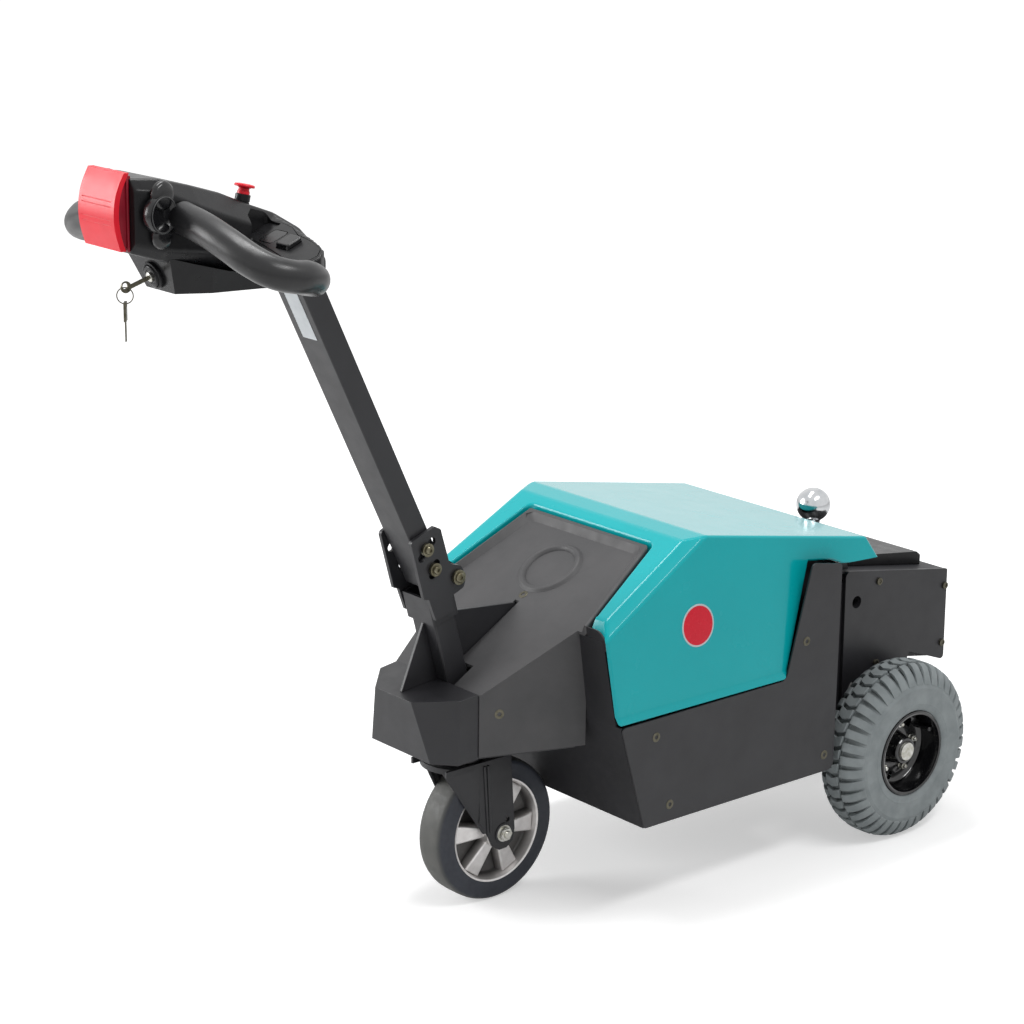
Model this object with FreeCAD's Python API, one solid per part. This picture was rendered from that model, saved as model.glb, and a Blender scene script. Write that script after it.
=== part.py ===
# Electric tow tractor for one walking operator, in millimetres.
# +X points forward to the tiller, +Y to the left, +Z up. The floor is Z = 0.
# Stations along the length are counted from the rear axle, and station() moves
# them so that the middle of the whole length lies on X = 0.
import FreeCAD
import Part
import math
import os

V = FreeCAD.Vector

# ---------------------------------------------------------------- overall sizes
axle_to_middle = 518.0        # rear axle to the middle of the overall length
floor_gap = 134.0             # underside of the body above the floor
body_half_width = 207.0       # outer face of the side panels
sheet = 3.0                   # body sheet thickness
heavy_plate = 6.0             # rear side plates and brackets
lid_gap = 8.0                 # open joint between hood and side panels

# ---------------------------------------------------------------- drive wheels
drive_radius = 130.0
drive_tyre_width = 76.0
drive_inner_face = 155.0      # inner side of the tyre from the centre plane
drive_rim_radius = 63.0
drive_rim_dish = 34.0         # depth of the outer dish
rim_wall = 2.5
shoulder_drop = 9.0           # tread shoulder below the crown
shoulder_inset = 15.0
hub_radius = 19.0
hub_cap_radius = 11.0
hub_cap_height = 5.0
axle_radius = 10.0
wheel_clearance = 0.05        # running fit of hubs on axles

# ---------------------------------------------------------------- castor
castor_radius = 100.0
castor_half_width = 24.0
castor_tyre_inner = 73.0
castor_swivel_x = 652.0
castor_trail = 49.0
castor_axle_x = castor_swivel_x - castor_trail
castor_hub_radius = 22.0
castor_hub_half = 31.5
castor_bolt_radius = 6.0
castor_pocket_count = 6
castor_pocket_inner = 31.0
castor_pocket_outer = 60.0
castor_pocket_depth = 17.0
castor_spoke_half_angle = 9.5
fork_leg_outer = 38.0
fork_leg_sheet = 4.0
fork_crown_z = 202.0
fork_crown_height = 8.0
fork_crown_radius = 51.0
castor_race_radius = 33.0
castor_plate_z = 232.0
castor_plate_half_x = 52.0
castor_plate_half_y = 42.0
nose_floor_z = 240.0
kingpin_radius = 8.0
axle_head_radius = 9.5
axle_head_height = 6.5

# ---------------------------------------------------------------- body outline
panel_front_low = (502.0, floor_gap)
panel_front_top = (547.0, 284.0)
panel_step_low = (243.0, 286.0)
panel_step_top = (199.0, 445.0)
panel_rear_top = (141.0, 434.0)
panel_rear_low = (141.0, floor_gap)
panel_corner = 8.0
front_wall_top = (560.0, 400.0)
wall_half_low = 195.0         # the front wall closes the open front of the hood
wall_half_high = 181.5
hood_open_x = 600.0
ridge_x = 394.0
ridge_z = 512.0
hood_rear_x = 69.0
hood_rear_z = 455.0
hood_tail_x = 46.0
hood_tail_z = 422.0
hood_slope_foot_x = 562.0
front_slope = math.tan(math.radians(30.0))
hood_slope_foot_z = ridge_z - (hood_slope_foot_x - ridge_x) * front_slope
hood_half_width = 205.0
hood_ridge_half = 178.0
hood_hinge_x = 56.0
hood_hinge_z = 412.0
hinge_pin_radius = 4.0
hinge_eye_radius = 7.0
hinge_leaf = 6.0
hinge_lug_y = 120.0           # inner face of each chassis lug
running_gap = 0.3             # side play between pieces of different bodies
liner_y = 172.0               # inner wall behind the joint of hood and panel

# ---------------------------------------------------------------- grey front cover and nose
cover_top_x = 428.0
cover_top_half = 122.0
cover_mid_x = 562.0
cover_mid_half = 151.0
cover_foot_x = 689.0
cover_foot_half = 88.5
column_hole_back_x = 655.0
column_hole_half = 34.5
gusset_slot_x = 551.0
gusset_slot_half = 4.2
gusset_half = 2.5
cover_gap = 6.0
cover_floor_z = 502.8          # height of the cover's sunk plane below the ridge
cover_floor_slope = 0.595
cover_lip_drop = 1.5
sunk_top_x = 437.0            # corners of the sunk plane
sunk_top_half = 106.0
sunk_mid_x = 549.0
sunk_mid_half = 139.0
nose_top_half = 38.0
nose_top_x = 762.0
nose_top_z = 321.0
nose_low_half = 62.0
nose_low_x = 749.0
nose_cheek_x_low = 724.4
nose_cheek_half_low = 89.8
nose_cheek_x_top = 717.6
nose_cheek_half_top = 84.8
nose_shelf_slope = 0.11
nose_wall = 4.0
nose_root_half = 87.0

# ---------------------------------------------------------------- rear section
rear_half_width = 146.0
rear_end_x = -153.0
rear_top_front = (66.0, 394.0)
rear_top_back = (-152.0, 358.5)
rear_low_back = (-154.0, 218.0)
rear_arch = (-77.0, 246.0)
rear_waist_x = -58.0
rear_foot_z = 88.0
rear_foot_front_x = 62.0
side_hole_radius = 9.0
side_hole_x = 41.0
side_hole_low_z = 216.0
side_hole_high_z = 344.0
rear_cover_half = 112.0
rear_cover_edge = 12.0
rear_cover_back_x = -118.0

# ---------------------------------------------------------------- tow ball
ball_x = -16.0
ball_z = 447.0
ball_radius = 25.0
ball_neck_radius = 10.5
ball_flange_radius = 21.0

# ---------------------------------------------------------------- tiller column and arm
column_lean = math.radians(15.2)
column_foot_x = 670.5
column_foot_z = 325.0
column_depth = 35.5
column_half_width = 24.0
column_top_length = 96.0
collar_depth = 42.0
collar_half_width = 28.5
collar_length = 38.0
bracket_sheet = 6.0
pivot_x = 683.0
pivot_z = 475.0
pivot_pin_radius = 6.0
slot_radius_high = 69.0
slot_radius_mid = 42.6
slot_angle_high = 41.6
slot_angle_mid = 24.2
slot_swing = 11.0
clamp_bolt_radius = 5.0
slot_play = 0.4
arm_lean = math.radians(25.9)
arm_front_x = 739.0           # front face of the arm at arm_mark_z
arm_mark_z = 500.0
arm_depth = 31.0
arm_half_width = 27.6
arm_wall = 3.0
arm_foot_z = 468.0
arm_head_z = 905.0
arm_lug_radius = 13.0

# ---------------------------------------------------------------- tiller head
# stations of the upper housing: x, half width, low z, high z, corner cut
head_ribs = [
    (1166.0, 48.0, 948.0, 1034.0, 12.0),
    (1132.0, 59.0, 937.0, 1032.0, 14.0),
    (1082.0, 55.0, 922.0, 1019.0, 22.0),
    (1032.0, 46.0, 908.0, 1004.0, 26.0),
    (988.0, 38.0, 900.0, 986.0, 24.0),
    (950.0, 32.0, 894.0, 972.0, 20.0),
    (912.0, 25.0, 888.0, 950.0, 14.0),
    (874.0, 14.0, 888.0, 913.0, 6.0),
]
# the wings that carry the keys sweep forward from the spine to the grip loops
wing_plane_x = 989.0
wing_plane_z = 953.4
wing_plane_tilt = 0.413       # the key faces rise to the rear, towards the walking operator
wing_floor_z = 915.0
wing_plan = [
    (950.0, 0.0), (953.0, 33.0), (960.0, 66.0), (969.0, 97.0), (976.0, 128.0), (982.0, 148.0),
    (990.0, 168.0), (1003.0, 178.0), (1014.0, 176.0), (1022.0, 165.0), (1026.0, 145.0),
    (1021.0, 112.0), (1009.0, 63.0), (1000.0, 30.0), (994.0, 0.0),
]
key_plate_inset = 7.0
key_plate_rise = 1.6
key_rise = 2.2
# keys on the left wing: middle x, middle y, half size along x, half size along y, extra rise
wing_keys = [
    (980.0, 24.0, 12.0, 14.0, 0.0),
    (989.0, 60.0, 11.0, 12.0, 1.2),
    (995.0, 105.0, 10.5, 12.5, 5.0),
]
lower_top = [(1119.0, 46.0), (1060.0, 48.0), (975.0, 36.0), (884.0, 27.0)]
lower_top_z = 935.0
lower_bottom = [(1103.0, 30.0), (1054.0, 34.0), (977.0, 26.0), (884.0, 22.0)]
lower_bottom_z = 893.0
lower_floor = [(1103.0, 893.5), (1054.0, 889.5), (977.0, 885.0), (884.0, 878.0)]
lower_roof_drop = 6.0
grip_radius = 19.0
grip_path = [
    (1109.0, 57.0, 987.5), (1107.5, 103.0, 979.0), (1105.0, 145.0, 967.0), (1098.0, 180.0, 953.0),
    (1085.0, 201.0, 943.0), (1062.0, 207.5, 937.0), (1040.0, 202.0, 933.5), (1020.0, 187.0, 933.0),
    (1006.0, 165.0, 935.0), (1001.0, 145.0, 936.0),
]
thumb_x = 1139.0
thumb_z = 994.0
thumb_half_height = 35.0
thumb_ring_radius = 19.0
thumb_cup_radius = 14.5
thumb_cup_depth = 9.0
thumb_thickness = 9.0
thumb_turn = 12.0
thumb_inner_y = 54.0
belly_half_width = 38.0
belly_profile = [(1166.3, 950.0), (1180.0, 951.5), (1186.0, 972.0), (1188.0, 994.0),
                 (1184.0, 1018.0), (1173.0, 1041.0), (1166.3, 1039.0)]
stop_x = 988.0
stop_z = 983.0
stop_lean = -13.0
stop_collar_radius = 9.0
stop_collar_height = 13.0
stop_neck_radius = 6.5
stop_flange_radius = 12.0
stop_height = 25.0
key_x = 1111.0
key_z = 913.0
key_dip = 17.5                # degrees that the key points below level
key_barrel_radius = 10.5
key_barrel_length = 12.0
key_blade_end = 36.0
key_bow_x = 1150.5
key_bow_z = 902.6
key_bow_radius = 7.0
key_half_sheet = 1.1
ring_hole_radius = 3.5
ring_hole_x = 1152.0
ring_hole_z = 904.2
ring_wire = 0.7
ring_lift = 0.95              # the ring's wire clears the floor of the hole in the key
ring_radius = 9.5
ring_turn = -38.5             # the ring hangs turned about the vertical
spare_head_top = 885.6
spare_head_low = 863.0
spare_blade_low = 839.0

# ---------------------------------------------------------------- masses inside
battery_x = (175.0, 420.0)
battery_half_y = 165.0
battery_z = (139.0, 359.0)
drive_case_radius = 50.0
drive_case_half_y = 136.0
shaft_entry = 26.0
drive_box = (-46.0, 118.0)


def station(x):
    return x - axle_to_middle


def box(x0, x1, y0, y1, z0, z1):
    return Part.makeBox(x1 - x0, y1 - y0, z1 - z0, V(station(x0), y0, z0))


def face_of(points):
    closed = points + [points[0]]
    return Part.Face(Part.makePolygon(closed))


def slab_xz(points, y0, y1):
    outline = [V(station(x), y0, z) for x, z in points]
    return face_of(outline).extrude(V(0, y1 - y0, 0))


def slab_xy(points, z0, z1):
    outline = [V(station(x), y, z0) for x, y in points]
    return face_of(outline).extrude(V(0, 0, z1 - z0))


def slab_yz(points, x0, x1):
    outline = [V(station(x0), y, z) for y, z in points]
    return face_of(outline).extrude(V(x1 - x0, 0, 0))


def cylinder_y(x, z, radius, y0, y1):
    return Part.makeCylinder(radius, y1 - y0, V(station(x), y0, z), V(0, 1, 0))


def cylinder_z(x, y, radius, z0, z1):
    return Part.makeCylinder(radius, z1 - z0, V(station(x), y, z0), V(0, 0, 1))


def mirrored(shape):
    return shape.mirror(V(0, 0, 0), V(0, 1, 0))


def turned_y(profile, x, z):
    """Revolve (radius, y) points about the Y axis through station x, height z."""
    outline = [V(station(x) + r, y, z) for r, y in profile]
    return face_of(outline).revolve(V(station(x), 0, z), V(0, 1, 0), 360)


def leaning_bar(foot_x, foot_z, lean, depth, half_width, length, start=0.0):
    """Rectangular bar whose axis leans forward; foot is on its centre line."""
    bar = Part.makeBox(depth, 2 * half_width, length, V(-depth / 2, -half_width, start))
    bar.rotate(V(0, 0, 0), V(0, 1, 0), math.degrees(lean))
    bar.translate(V(station(foot_x), 0, foot_z))
    return bar


def rounded_xz(points, radii, y0, y1):
    """Slab in the XZ plane with its vertical corner edges rounded."""
    slab = slab_xz(points, y0, y1)
    for (x, z), radius in zip(points, radii):
        if radius <= 0:
            continue
        picked = []
        for edge in slab.Edges:
            a = edge.Vertexes[0].Point
            b = edge.Vertexes[-1].Point
            near_a = abs(a.x - station(x)) < 0.01 and abs(a.z - z) < 0.01
            near_b = abs(b.x - station(x)) < 0.01 and abs(b.z - z) < 0.01
            if near_a and near_b:
                picked.append(edge)
        if picked:
            slab = slab.makeFillet(radius, picked)
    return slab


def loft(sections):
    wires = [Part.makePolygon(points + [points[0]]) for points in sections]
    return Part.makeLoft(wires, True, True)


def pipe(points, radius):
    """Round tube of the given radius along a smooth curve through the points."""
    curve = Part.BSplineCurve()
    curve.interpolate([V(station(x), y, z) for x, y, z in points])
    spine = Part.Wire([curve.toShape()])
    start = curve.value(curve.FirstParameter)
    heading = curve.tangent(curve.FirstParameter)[0]
    ring = Part.Wire([Part.makeCircle(radius, start, heading)])
    return spine.makePipeShell([ring], True, False)


def single(shape):
    """The one solid a fused piece is made of."""
    cleaned = shape.removeSplitter()
    solids = sorted(cleaned.Solids, key=lambda s: s.Volume)
    return solids[-1]


os.makedirs("parts", exist_ok=True)


def save(name, shape):
    solids = shape.Solids
    kept = solids[0] if len(solids) == 1 else Part.makeCompound(solids)
    if not solids:
        raise ValueError("no solid in " + name)
    kept.exportStep("parts/" + name + ".step")
    print(name, len(solids), round(kept.Volume / 1000.0, 1), "cm3", kept.isValid())


def save_pair(name, shape):
    save(name + "_left", shape)
    save(name + "_right", mirrored(shape))


# ---------------------------------------------------------------- side panels
panel_outline = [
    panel_front_low, panel_front_top, panel_step_low,
    panel_step_top, panel_rear_top, panel_rear_low,
]
panel_radii = [4.0, 6.0, 12.0, panel_corner, 5.0, 12.0]
side_panel = rounded_xz(panel_outline, panel_radii, body_half_width - sheet, body_half_width)
save_pair("side_panel", side_panel)

# ---------------------------------------------------------------- chassis tray
inner_half = body_half_width - sheet
tray_floor = box(panel_rear_low[0], panel_front_low[0], -inner_half, inner_half,
                 floor_gap, floor_gap + sheet)
front_outline = [
    panel_front_low,
    panel_front_top,
    front_wall_top,
    (front_wall_top[0] - sheet, front_wall_top[1]),
    (panel_front_top[0] - sheet, panel_front_top[1]),
    (panel_front_low[0] - sheet, panel_front_low[1]),
]
front_wall = slab_xz(front_outline, -inner_half, inner_half)
upper_trim = slab_yz(
    [(wall_half_low, panel_front_top[1]), (wall_half_high, front_wall_top[1] + sheet),
     (inner_half + sheet, front_wall_top[1] + sheet), (inner_half + sheet, panel_front_top[1])],
    panel_front_top[0] - 4 * sheet, front_wall_top[0] + 4 * sheet)
front_wall = front_wall.cut(upper_trim).cut(mirrored(upper_trim))
wall_shoulder = panel_rear_top[1] - 4.0
wall_crest = hood_rear_z
rear_wall = slab_yz(
    [(-inner_half, floor_gap), (inner_half, floor_gap), (inner_half, wall_shoulder),
     (liner_y, wall_shoulder), (liner_y - sheet, wall_crest), (sheet - liner_y, wall_crest),
     (-liner_y, wall_shoulder), (-inner_half, wall_shoulder)],
    panel_rear_low[0], panel_rear_low[0] + sheet)
flange = box(panel_rear_low[0] + sheet, panel_front_low[0] - 20.0, inner_half - sheet, inner_half,
             floor_gap + sheet, floor_gap + 40.0)
liner_rise = 16.0
liner = slab_xz(
    [(panel_rear_low[0], floor_gap), (panel_front_low[0] - sheet, floor_gap),
     (panel_front_top[0] - sheet, panel_front_top[1]),
     (panel_front_top[0] - 2 * sheet, panel_front_top[1] + liner_rise),
     (panel_step_low[0] + liner_rise, panel_step_low[1] + liner_rise),
     (panel_step_top[0] + liner_rise, panel_step_top[1] - sheet),
     (panel_rear_low[0], wall_shoulder)],
    liner_y - sheet, liner_y)
tray = tray_floor.fuse([front_wall, rear_wall, flange, mirrored(flange), liner, mirrored(liner)])
save("chassis_tray", single(tray))

# ---------------------------------------------------------------- hood


def hood_block(inset):
    side_points = [
        (hood_tail_x + inset, hood_tail_z),
        (hood_rear_x + inset, hood_rear_z - inset),
        (ridge_x - inset * 0.3, ridge_z - inset),
        (hood_slope_foot_x - inset, hood_slope_foot_z - inset),
        (front_wall_top[0] + 3.0 - inset, 395.0),
        (front_wall_top[0] - 4.0 - inset, 298.0),
        (panel_front_top[0] - inset, 284.0 + lid_gap),
        (250.0, 284.0 + lid_gap),
        (panel_step_top[0] + lid_gap, panel_step_top[1] + lid_gap),
        (panel_rear_top[0], panel_rear_top[1] + lid_gap),
    ]
    if inset > 0:
        # the hood is open below and in front
        low = 200.0
        open_z = hood_slope_foot_z - (hood_open_x - hood_slope_foot_x) * front_slope
        side_points = side_points[:3] + [(hood_open_x, open_z - 1.3 * inset), (hood_open_x, low),
                                         (hood_tail_x + inset, low)]
    full = body_half_width + 30.0
    block = slab_xz(side_points, -full, full)
    base_half = hood_half_width - inset
    top_half = hood_ridge_half - inset
    base_z = 284.0
    far = 900.0
    for sign in (1, -1):
        run = (base_half - top_half) / (ridge_z - base_z)
        outline = [
            (sign * (base_half + (base_z - 100.0) * run), 100.0),
            (sign * (base_half - (far - base_z) * run), far),
            (sign * far, far),
            (sign * far, 100.0),
        ]
        block = block.cut(slab_yz(outline, -300.0, 900.0))
    return block


hood_outer = hood_block(0.0)
hood_inner = hood_block(sheet)
hood_shell = hood_outer.cut(hood_inner)
cover_cut_points = [
    (cover_top_x - cover_gap, -cover_top_half - cover_gap),
    (cover_mid_x + 20.0, -cover_mid_half - 2 * cover_gap),
    (cover_mid_x + 20.0, cover_mid_half + 2 * cover_gap),
    (cover_top_x - cover_gap, cover_top_half + cover_gap),
]
hood_shell = hood_shell.cut(slab_xy(cover_cut_points, 200.0, 600.0))
knuckle_y0 = hinge_lug_y + hinge_leaf + running_gap
knuckle = slab_xz(
    [(hood_hinge_x - hinge_eye_radius, hood_hinge_z), (hood_hinge_x + hinge_eye_radius, hood_hinge_z),
     (hood_hinge_x + 16.0, hood_rear_z + 4.0), (hood_hinge_x - hinge_eye_radius, hood_hinge_z + 24.0)],
    knuckle_y0, knuckle_y0 + hinge_leaf)
knuckle = knuckle.fuse(cylinder_y(hood_hinge_x, hood_hinge_z, hinge_eye_radius, knuckle_y0,
                                  knuckle_y0 + hinge_leaf))
knuckle = knuckle.cut(cylinder_y(hood_hinge_x, hood_hinge_z, hinge_pin_radius + wheel_clearance,
                                 100.0, 200.0))
knuckle = knuckle.common(hood_outer)
below_knuckle = cylinder_y(hood_hinge_x, hood_hinge_z, hinge_eye_radius, knuckle_y0,
                           knuckle_y0 + hinge_leaf)
below_knuckle = below_knuckle.cut(cylinder_y(hood_hinge_x, hood_hinge_z,
                                             hinge_pin_radius + wheel_clearance, 100.0, 200.0))
neck = slab_xz(
    [(hood_hinge_x - 5.0, hood_hinge_z + 5.0), (hood_hinge_x + 5.0, hood_hinge_z + 5.0),
     (hood_hinge_x + 8.0, hood_hinge_z + 24.0), (hood_hinge_x - 4.0, hood_hinge_z + 24.0)],
    knuckle_y0, knuckle_y0 + hinge_leaf)
knuckle = knuckle.fuse([below_knuckle, neck])
hood_shell = hood_shell.fuse([knuckle, mirrored(knuckle)])
save("hood", single(hood_shell))

# ---------------------------------------------------------------- grey front cover


def slope_z(x, drop=0.0):
    return ridge_z - (x - ridge_x) * front_slope - drop


cover_sheet = 3.0
cover_drop = cover_sheet * 1.2


def cover_z(x, drop=0.0):
    """Top of the sunk plane, which runs on as the slope behind the tiller."""
    return cover_floor_z - (x - ridge_x) * cover_floor_slope - drop


def outline_pair(points):
    return points + [(x, -y) for x, y in points[::-1]]


# the raised rim stands at the height of the hood and slants down to the sunk plane
rim_plan = outline_pair([(cover_top_x, cover_top_half), (cover_mid_x, cover_mid_half)])
rim_line = (cover_top_x - 2.0, cover_mid_x + 2.0)
rim_band = slab_xz(
    [(x, slope_z(x, cover_lip_drop)) for x in rim_line]
    + [(x, cover_z(x, cover_drop)) for x in rim_line[::-1]], -200.0, 200.0)
rim_block = slab_xy(rim_plan, 300.0, 600.0).common(rim_band)
side_run = (sunk_mid_half - sunk_top_half) / (sunk_mid_x - sunk_top_x)
rim_run = (cover_mid_half - cover_top_half) / (cover_mid_x - cover_top_x)
beyond = cover_mid_x + 20.0


def sunk_corners(start_x, start_half, run, height):
    half = start_half + (beyond - start_x) * run
    corners = outline_pair([(start_x, start_half), (beyond, half)])
    return [V(station(x), y, height(x)) for x, y in corners]


rim_edge = 3.0
sunk_low = sunk_corners(sunk_top_x, sunk_top_half, side_run, cover_z)
sunk_high = sunk_corners(cover_top_x + rim_edge, cover_top_half - rim_edge, rim_run,
                         lambda x: slope_z(x, cover_lip_drop - 2.0))
rim = rim_block.cut(loft([sunk_low, sunk_high]))

foot_plan = outline_pair([(sunk_mid_x, sunk_mid_half), (cover_foot_x, cover_foot_half)])
foot_line = (sunk_top_x - 3.0, cover_foot_x + 5.0)
slope_band = slab_xz(
    [(x, cover_z(x)) for x in foot_line] + [(x, cover_z(x, cover_drop)) for x in foot_line[::-1]],
    -260.0, 260.0)
cover_top = rim.fuse(slab_xy(foot_plan, 200.0, 600.0).common(slope_band))
cover_side_plan = [
    (sunk_mid_x, sunk_mid_half), (cover_foot_x, cover_foot_half),
    (cover_foot_x, cover_foot_half - sheet * 1.1), (sunk_mid_x, sunk_mid_half - sheet * 1.1),
]
under_slope = slab_xz(
    [(x, cover_z(x)) for x in foot_line]
    + [(foot_line[-1], nose_floor_z + 3.0), (foot_line[0], nose_floor_z + 3.0)], -260.0, 260.0)
cover_side = slab_xy(cover_side_plan, nose_floor_z, 500.0).common(under_slope)
column_hole = box(column_hole_back_x, cover_foot_x + 10.0, -column_hole_half, column_hole_half,
                  300.0, 420.0)
gusset_slot = box(gusset_slot_x, column_hole_back_x + 1.0, -gusset_slot_half, gusset_slot_half,
                  300.0, 440.0)
front_cover = cover_top.fuse([cover_side, mirrored(cover_side)]).cut(column_hole).cut(gusset_slot)
front_cover = front_cover.cut(tray)
save("front_cover", single(front_cover))

# ---------------------------------------------------------------- nose block


def nose_solid(inset):
    low = [
        V(station(nose_low_x - inset), -nose_low_half + inset * 0.6, nose_floor_z + inset),
        V(station(nose_low_x - inset), nose_low_half - inset * 0.6, nose_floor_z + inset),
        V(station(nose_cheek_x_low - inset), nose_cheek_half_low - inset, nose_floor_z + inset),
        V(station(cover_foot_x), nose_root_half - inset, nose_floor_z + inset),
        V(station(cover_foot_x), -nose_root_half + inset, nose_floor_z + inset),
        V(station(nose_cheek_x_low - inset), -nose_cheek_half_low + inset, nose_floor_z + inset),
    ]

    def shelf(x):
        return nose_top_z + (nose_top_x - x) * nose_shelf_slope - inset

    high = [
        V(station(nose_top_x - inset), -nose_top_half + inset * 0.6, shelf(nose_top_x - inset)),
        V(station(nose_top_x - inset), nose_top_half - inset * 0.6, shelf(nose_top_x - inset)),
        V(station(nose_cheek_x_top - inset), nose_cheek_half_top - inset,
          shelf(nose_cheek_x_top - inset)),
        V(station(cover_foot_x), nose_root_half - inset, shelf(cover_foot_x)),
        V(station(cover_foot_x), -nose_root_half + inset, shelf(cover_foot_x)),
        V(station(nose_cheek_x_top - inset), -nose_cheek_half_top + inset,
          shelf(nose_cheek_x_top - inset)),
    ]
    return loft([low, high])


nose = nose_solid(0.0)
nose_floor = slab_xy(
    [(560.0, -131.2), (cover_foot_x, -cover_foot_half + 3.6), (cover_foot_x, cover_foot_half - 3.6),
     (560.0, 131.2)], nose_floor_z, nose_floor_z + nose_wall)
nose_shell = nose.cut(nose_solid(nose_wall)).fuse(nose_floor)

# ---------------------------------------------------------------- nose spines
spine_low = nose_floor_z + nose_wall
spine_high = 318.0
front_lean_low = (panel_front_top[0] - panel_front_low[0]) / (panel_front_top[1] - floor_gap)
front_lean_high = (front_wall_top[0] - panel_front_top[0]) / (front_wall_top[1] - panel_front_top[1])
spine_outline = [
    (panel_front_low[0] + (spine_low - floor_gap) * front_lean_low, spine_low),
    panel_front_top,
    (panel_front_top[0] + (spine_high - panel_front_top[1]) * front_lean_high, spine_high),
    (680.0, spine_high), (735.0, spine_low + 50.0), (735.0, spine_low),
]
nose_spine = slab_xz(spine_outline, column_half_width, column_half_width + 5.0)
save_pair("nose_spine", nose_spine)

# ---------------------------------------------------------------- tiller column
column = leaning_bar(column_foot_x, column_foot_z, column_lean, column_depth,
                     column_half_width, column_top_length + 84.0, -84.0)
column = column.cut(box(600.0, 800.0, -60.0, 60.0, 200.0, nose_floor_z + nose_wall))
column_core = leaning_bar(column_foot_x, column_foot_z, column_lean, column_depth - 6.0,
                          column_half_width - 3.0, column_top_length + 100.0, -100.0)
column_tube = column.cut(column_core)
save("tiller_column", single(column_tube))
save("nose_block", single(nose_shell.cut(column)))

front_gusset = slab_xz([(713.5, 410.0), (751.0, 318.0), (684.0, 322.0), (684.0, 345.0)],
                       -gusset_half, gusset_half)
front_gusset = front_gusset.cut(column).cut(nose)
save("column_gusset_front", single(front_gusset))
rear_gusset = slab_xz([(664.0, 417.4), (559.0, 408.2), (555.0, 405.0), (574.0, 392.0),
                       (630.0, 344.0), (664.0, 338.0)], -gusset_half, gusset_half)
save("column_gusset_rear", single(rear_gusset.cut(column).cut(tray)))

collar = leaning_bar(column_foot_x, column_foot_z, column_lean, collar_depth,
                     collar_half_width, collar_length, column_top_length)
collar_core = leaning_bar(column_foot_x, column_foot_z, column_lean, collar_depth - 8.0,
                          collar_half_width - 4.0, collar_length, column_top_length + 4.0)
save("column_collar", single(collar.cut(collar_core)))

# ---------------------------------------------------------------- bracket plates
bracket_points = [
    (760.0, 534.0), (721.0, 549.0), (711.0, 544.0), (696.0, 495.0), (677.0, 489.0),
    (668.5, 474.0), (672.0, 459.0), (691.0, 451.0), (687.5, 430.0), (718.0, 422.0),
    (729.5, 452.0), (738.0, 455.0),
]
bracket_radii = [6.0, 4.0, 4.0, 8.0, 8.0, 7.0, 8.0, 4.0, 0.0, 0.0, 0.0, 0.0]
bracket = rounded_xz(bracket_points, bracket_radii, collar_half_width,
                     collar_half_width + bracket_sheet)


def arc_slot(radius, middle, swing, half_width, y0, y1):
    steps = 8
    outer = []
    inner = []
    for i in range(steps + 1):
        angle = math.radians(middle - swing + 2 * swing * i / steps)
        outer.append((pivot_x + (radius + half_width) * math.cos(angle),
                      pivot_z + (radius + half_width) * math.sin(angle)))
        inner.append((pivot_x + (radius - half_width) * math.cos(angle),
                      pivot_z + (radius - half_width) * math.sin(angle)))
    slot = slab_xz(outer + inner[::-1], y0, y1)
    for end in (-1, 1):
        angle = math.radians(middle + end * swing)
        slot = slot.fuse(cylinder_y(pivot_x + radius * math.cos(angle),
                                    pivot_z + radius * math.sin(angle), half_width, y0, y1))
    return slot


slot_y0 = collar_half_width - 1.0
slot_y1 = collar_half_width + bracket_sheet + 1.0
slot_half = clamp_bolt_radius + slot_play
bracket = bracket.cut(arc_slot(slot_radius_high, slot_angle_high, slot_swing, slot_half,
                               slot_y0, slot_y1))
bracket = bracket.cut(arc_slot(slot_radius_mid, slot_angle_mid, slot_swing, slot_half,
                               slot_y0, slot_y1))
bracket = bracket.cut(cylinder_y(pivot_x, pivot_z, pivot_pin_radius + wheel_clearance,
                                 slot_y0, slot_y1))
save_pair("tiller_bracket", bracket)

# ---------------------------------------------------------------- tiller arm


def arm_bar(depth, half_width, low_z, high_z):
    lift = math.cos(arm_lean)
    middle_x = arm_front_x - arm_depth / lift / 2
    start = (low_z - arm_mark_z) / lift
    length = (high_z - low_z) / lift
    return leaning_bar(middle_x, arm_mark_z, arm_lean, depth, half_width, length, start)


arm_outer = arm_bar(arm_depth, arm_half_width, arm_foot_z, arm_head_z)
arm_core = arm_bar(arm_depth - 2 * arm_wall, arm_half_width - arm_wall, arm_foot_z - 30.0,
                   arm_head_z + 30.0)
arm_tube = arm_outer.cut(arm_core)
lug_outline = [
    (pivot_x - 4.0, pivot_z + arm_lug_radius), (pivot_x + 26.0, pivot_z + 34.0),
    (pivot_x + 30.0, pivot_z - 2.0), (pivot_x, pivot_z - arm_lug_radius),
]
for side in (-1, 1):
    lug_y0 = arm_half_width - arm_wall if side > 0 else -arm_half_width
    lug_y1 = lug_y0 + arm_wall
    lug = slab_xz(lug_outline, lug_y0, lug_y1)
    lug = lug.fuse(cylinder_y(pivot_x, pivot_z, arm_lug_radius, lug_y0, lug_y1))
    arm_tube = arm_tube.fuse(lug)
arm_tube = arm_tube.cut(cylinder_y(pivot_x, pivot_z, pivot_pin_radius + wheel_clearance,
                                   -arm_half_width - 1, arm_half_width + 1))


def at_polar(radius, angle):
    return (pivot_x + radius * math.cos(math.radians(angle)),
            pivot_z + radius * math.sin(math.radians(angle)))


high_bolt = at_polar(slot_radius_high, slot_angle_high)
mid_bolt = at_polar(slot_radius_mid, slot_angle_mid)
for bolt_x, bolt_z in (high_bolt, mid_bolt):
    arm_tube = arm_tube.cut(cylinder_y(bolt_x, bolt_z, clamp_bolt_radius,
                                       -arm_half_width - 1, arm_half_width + 1))
save("tiller_arm", single(arm_tube))

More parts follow.
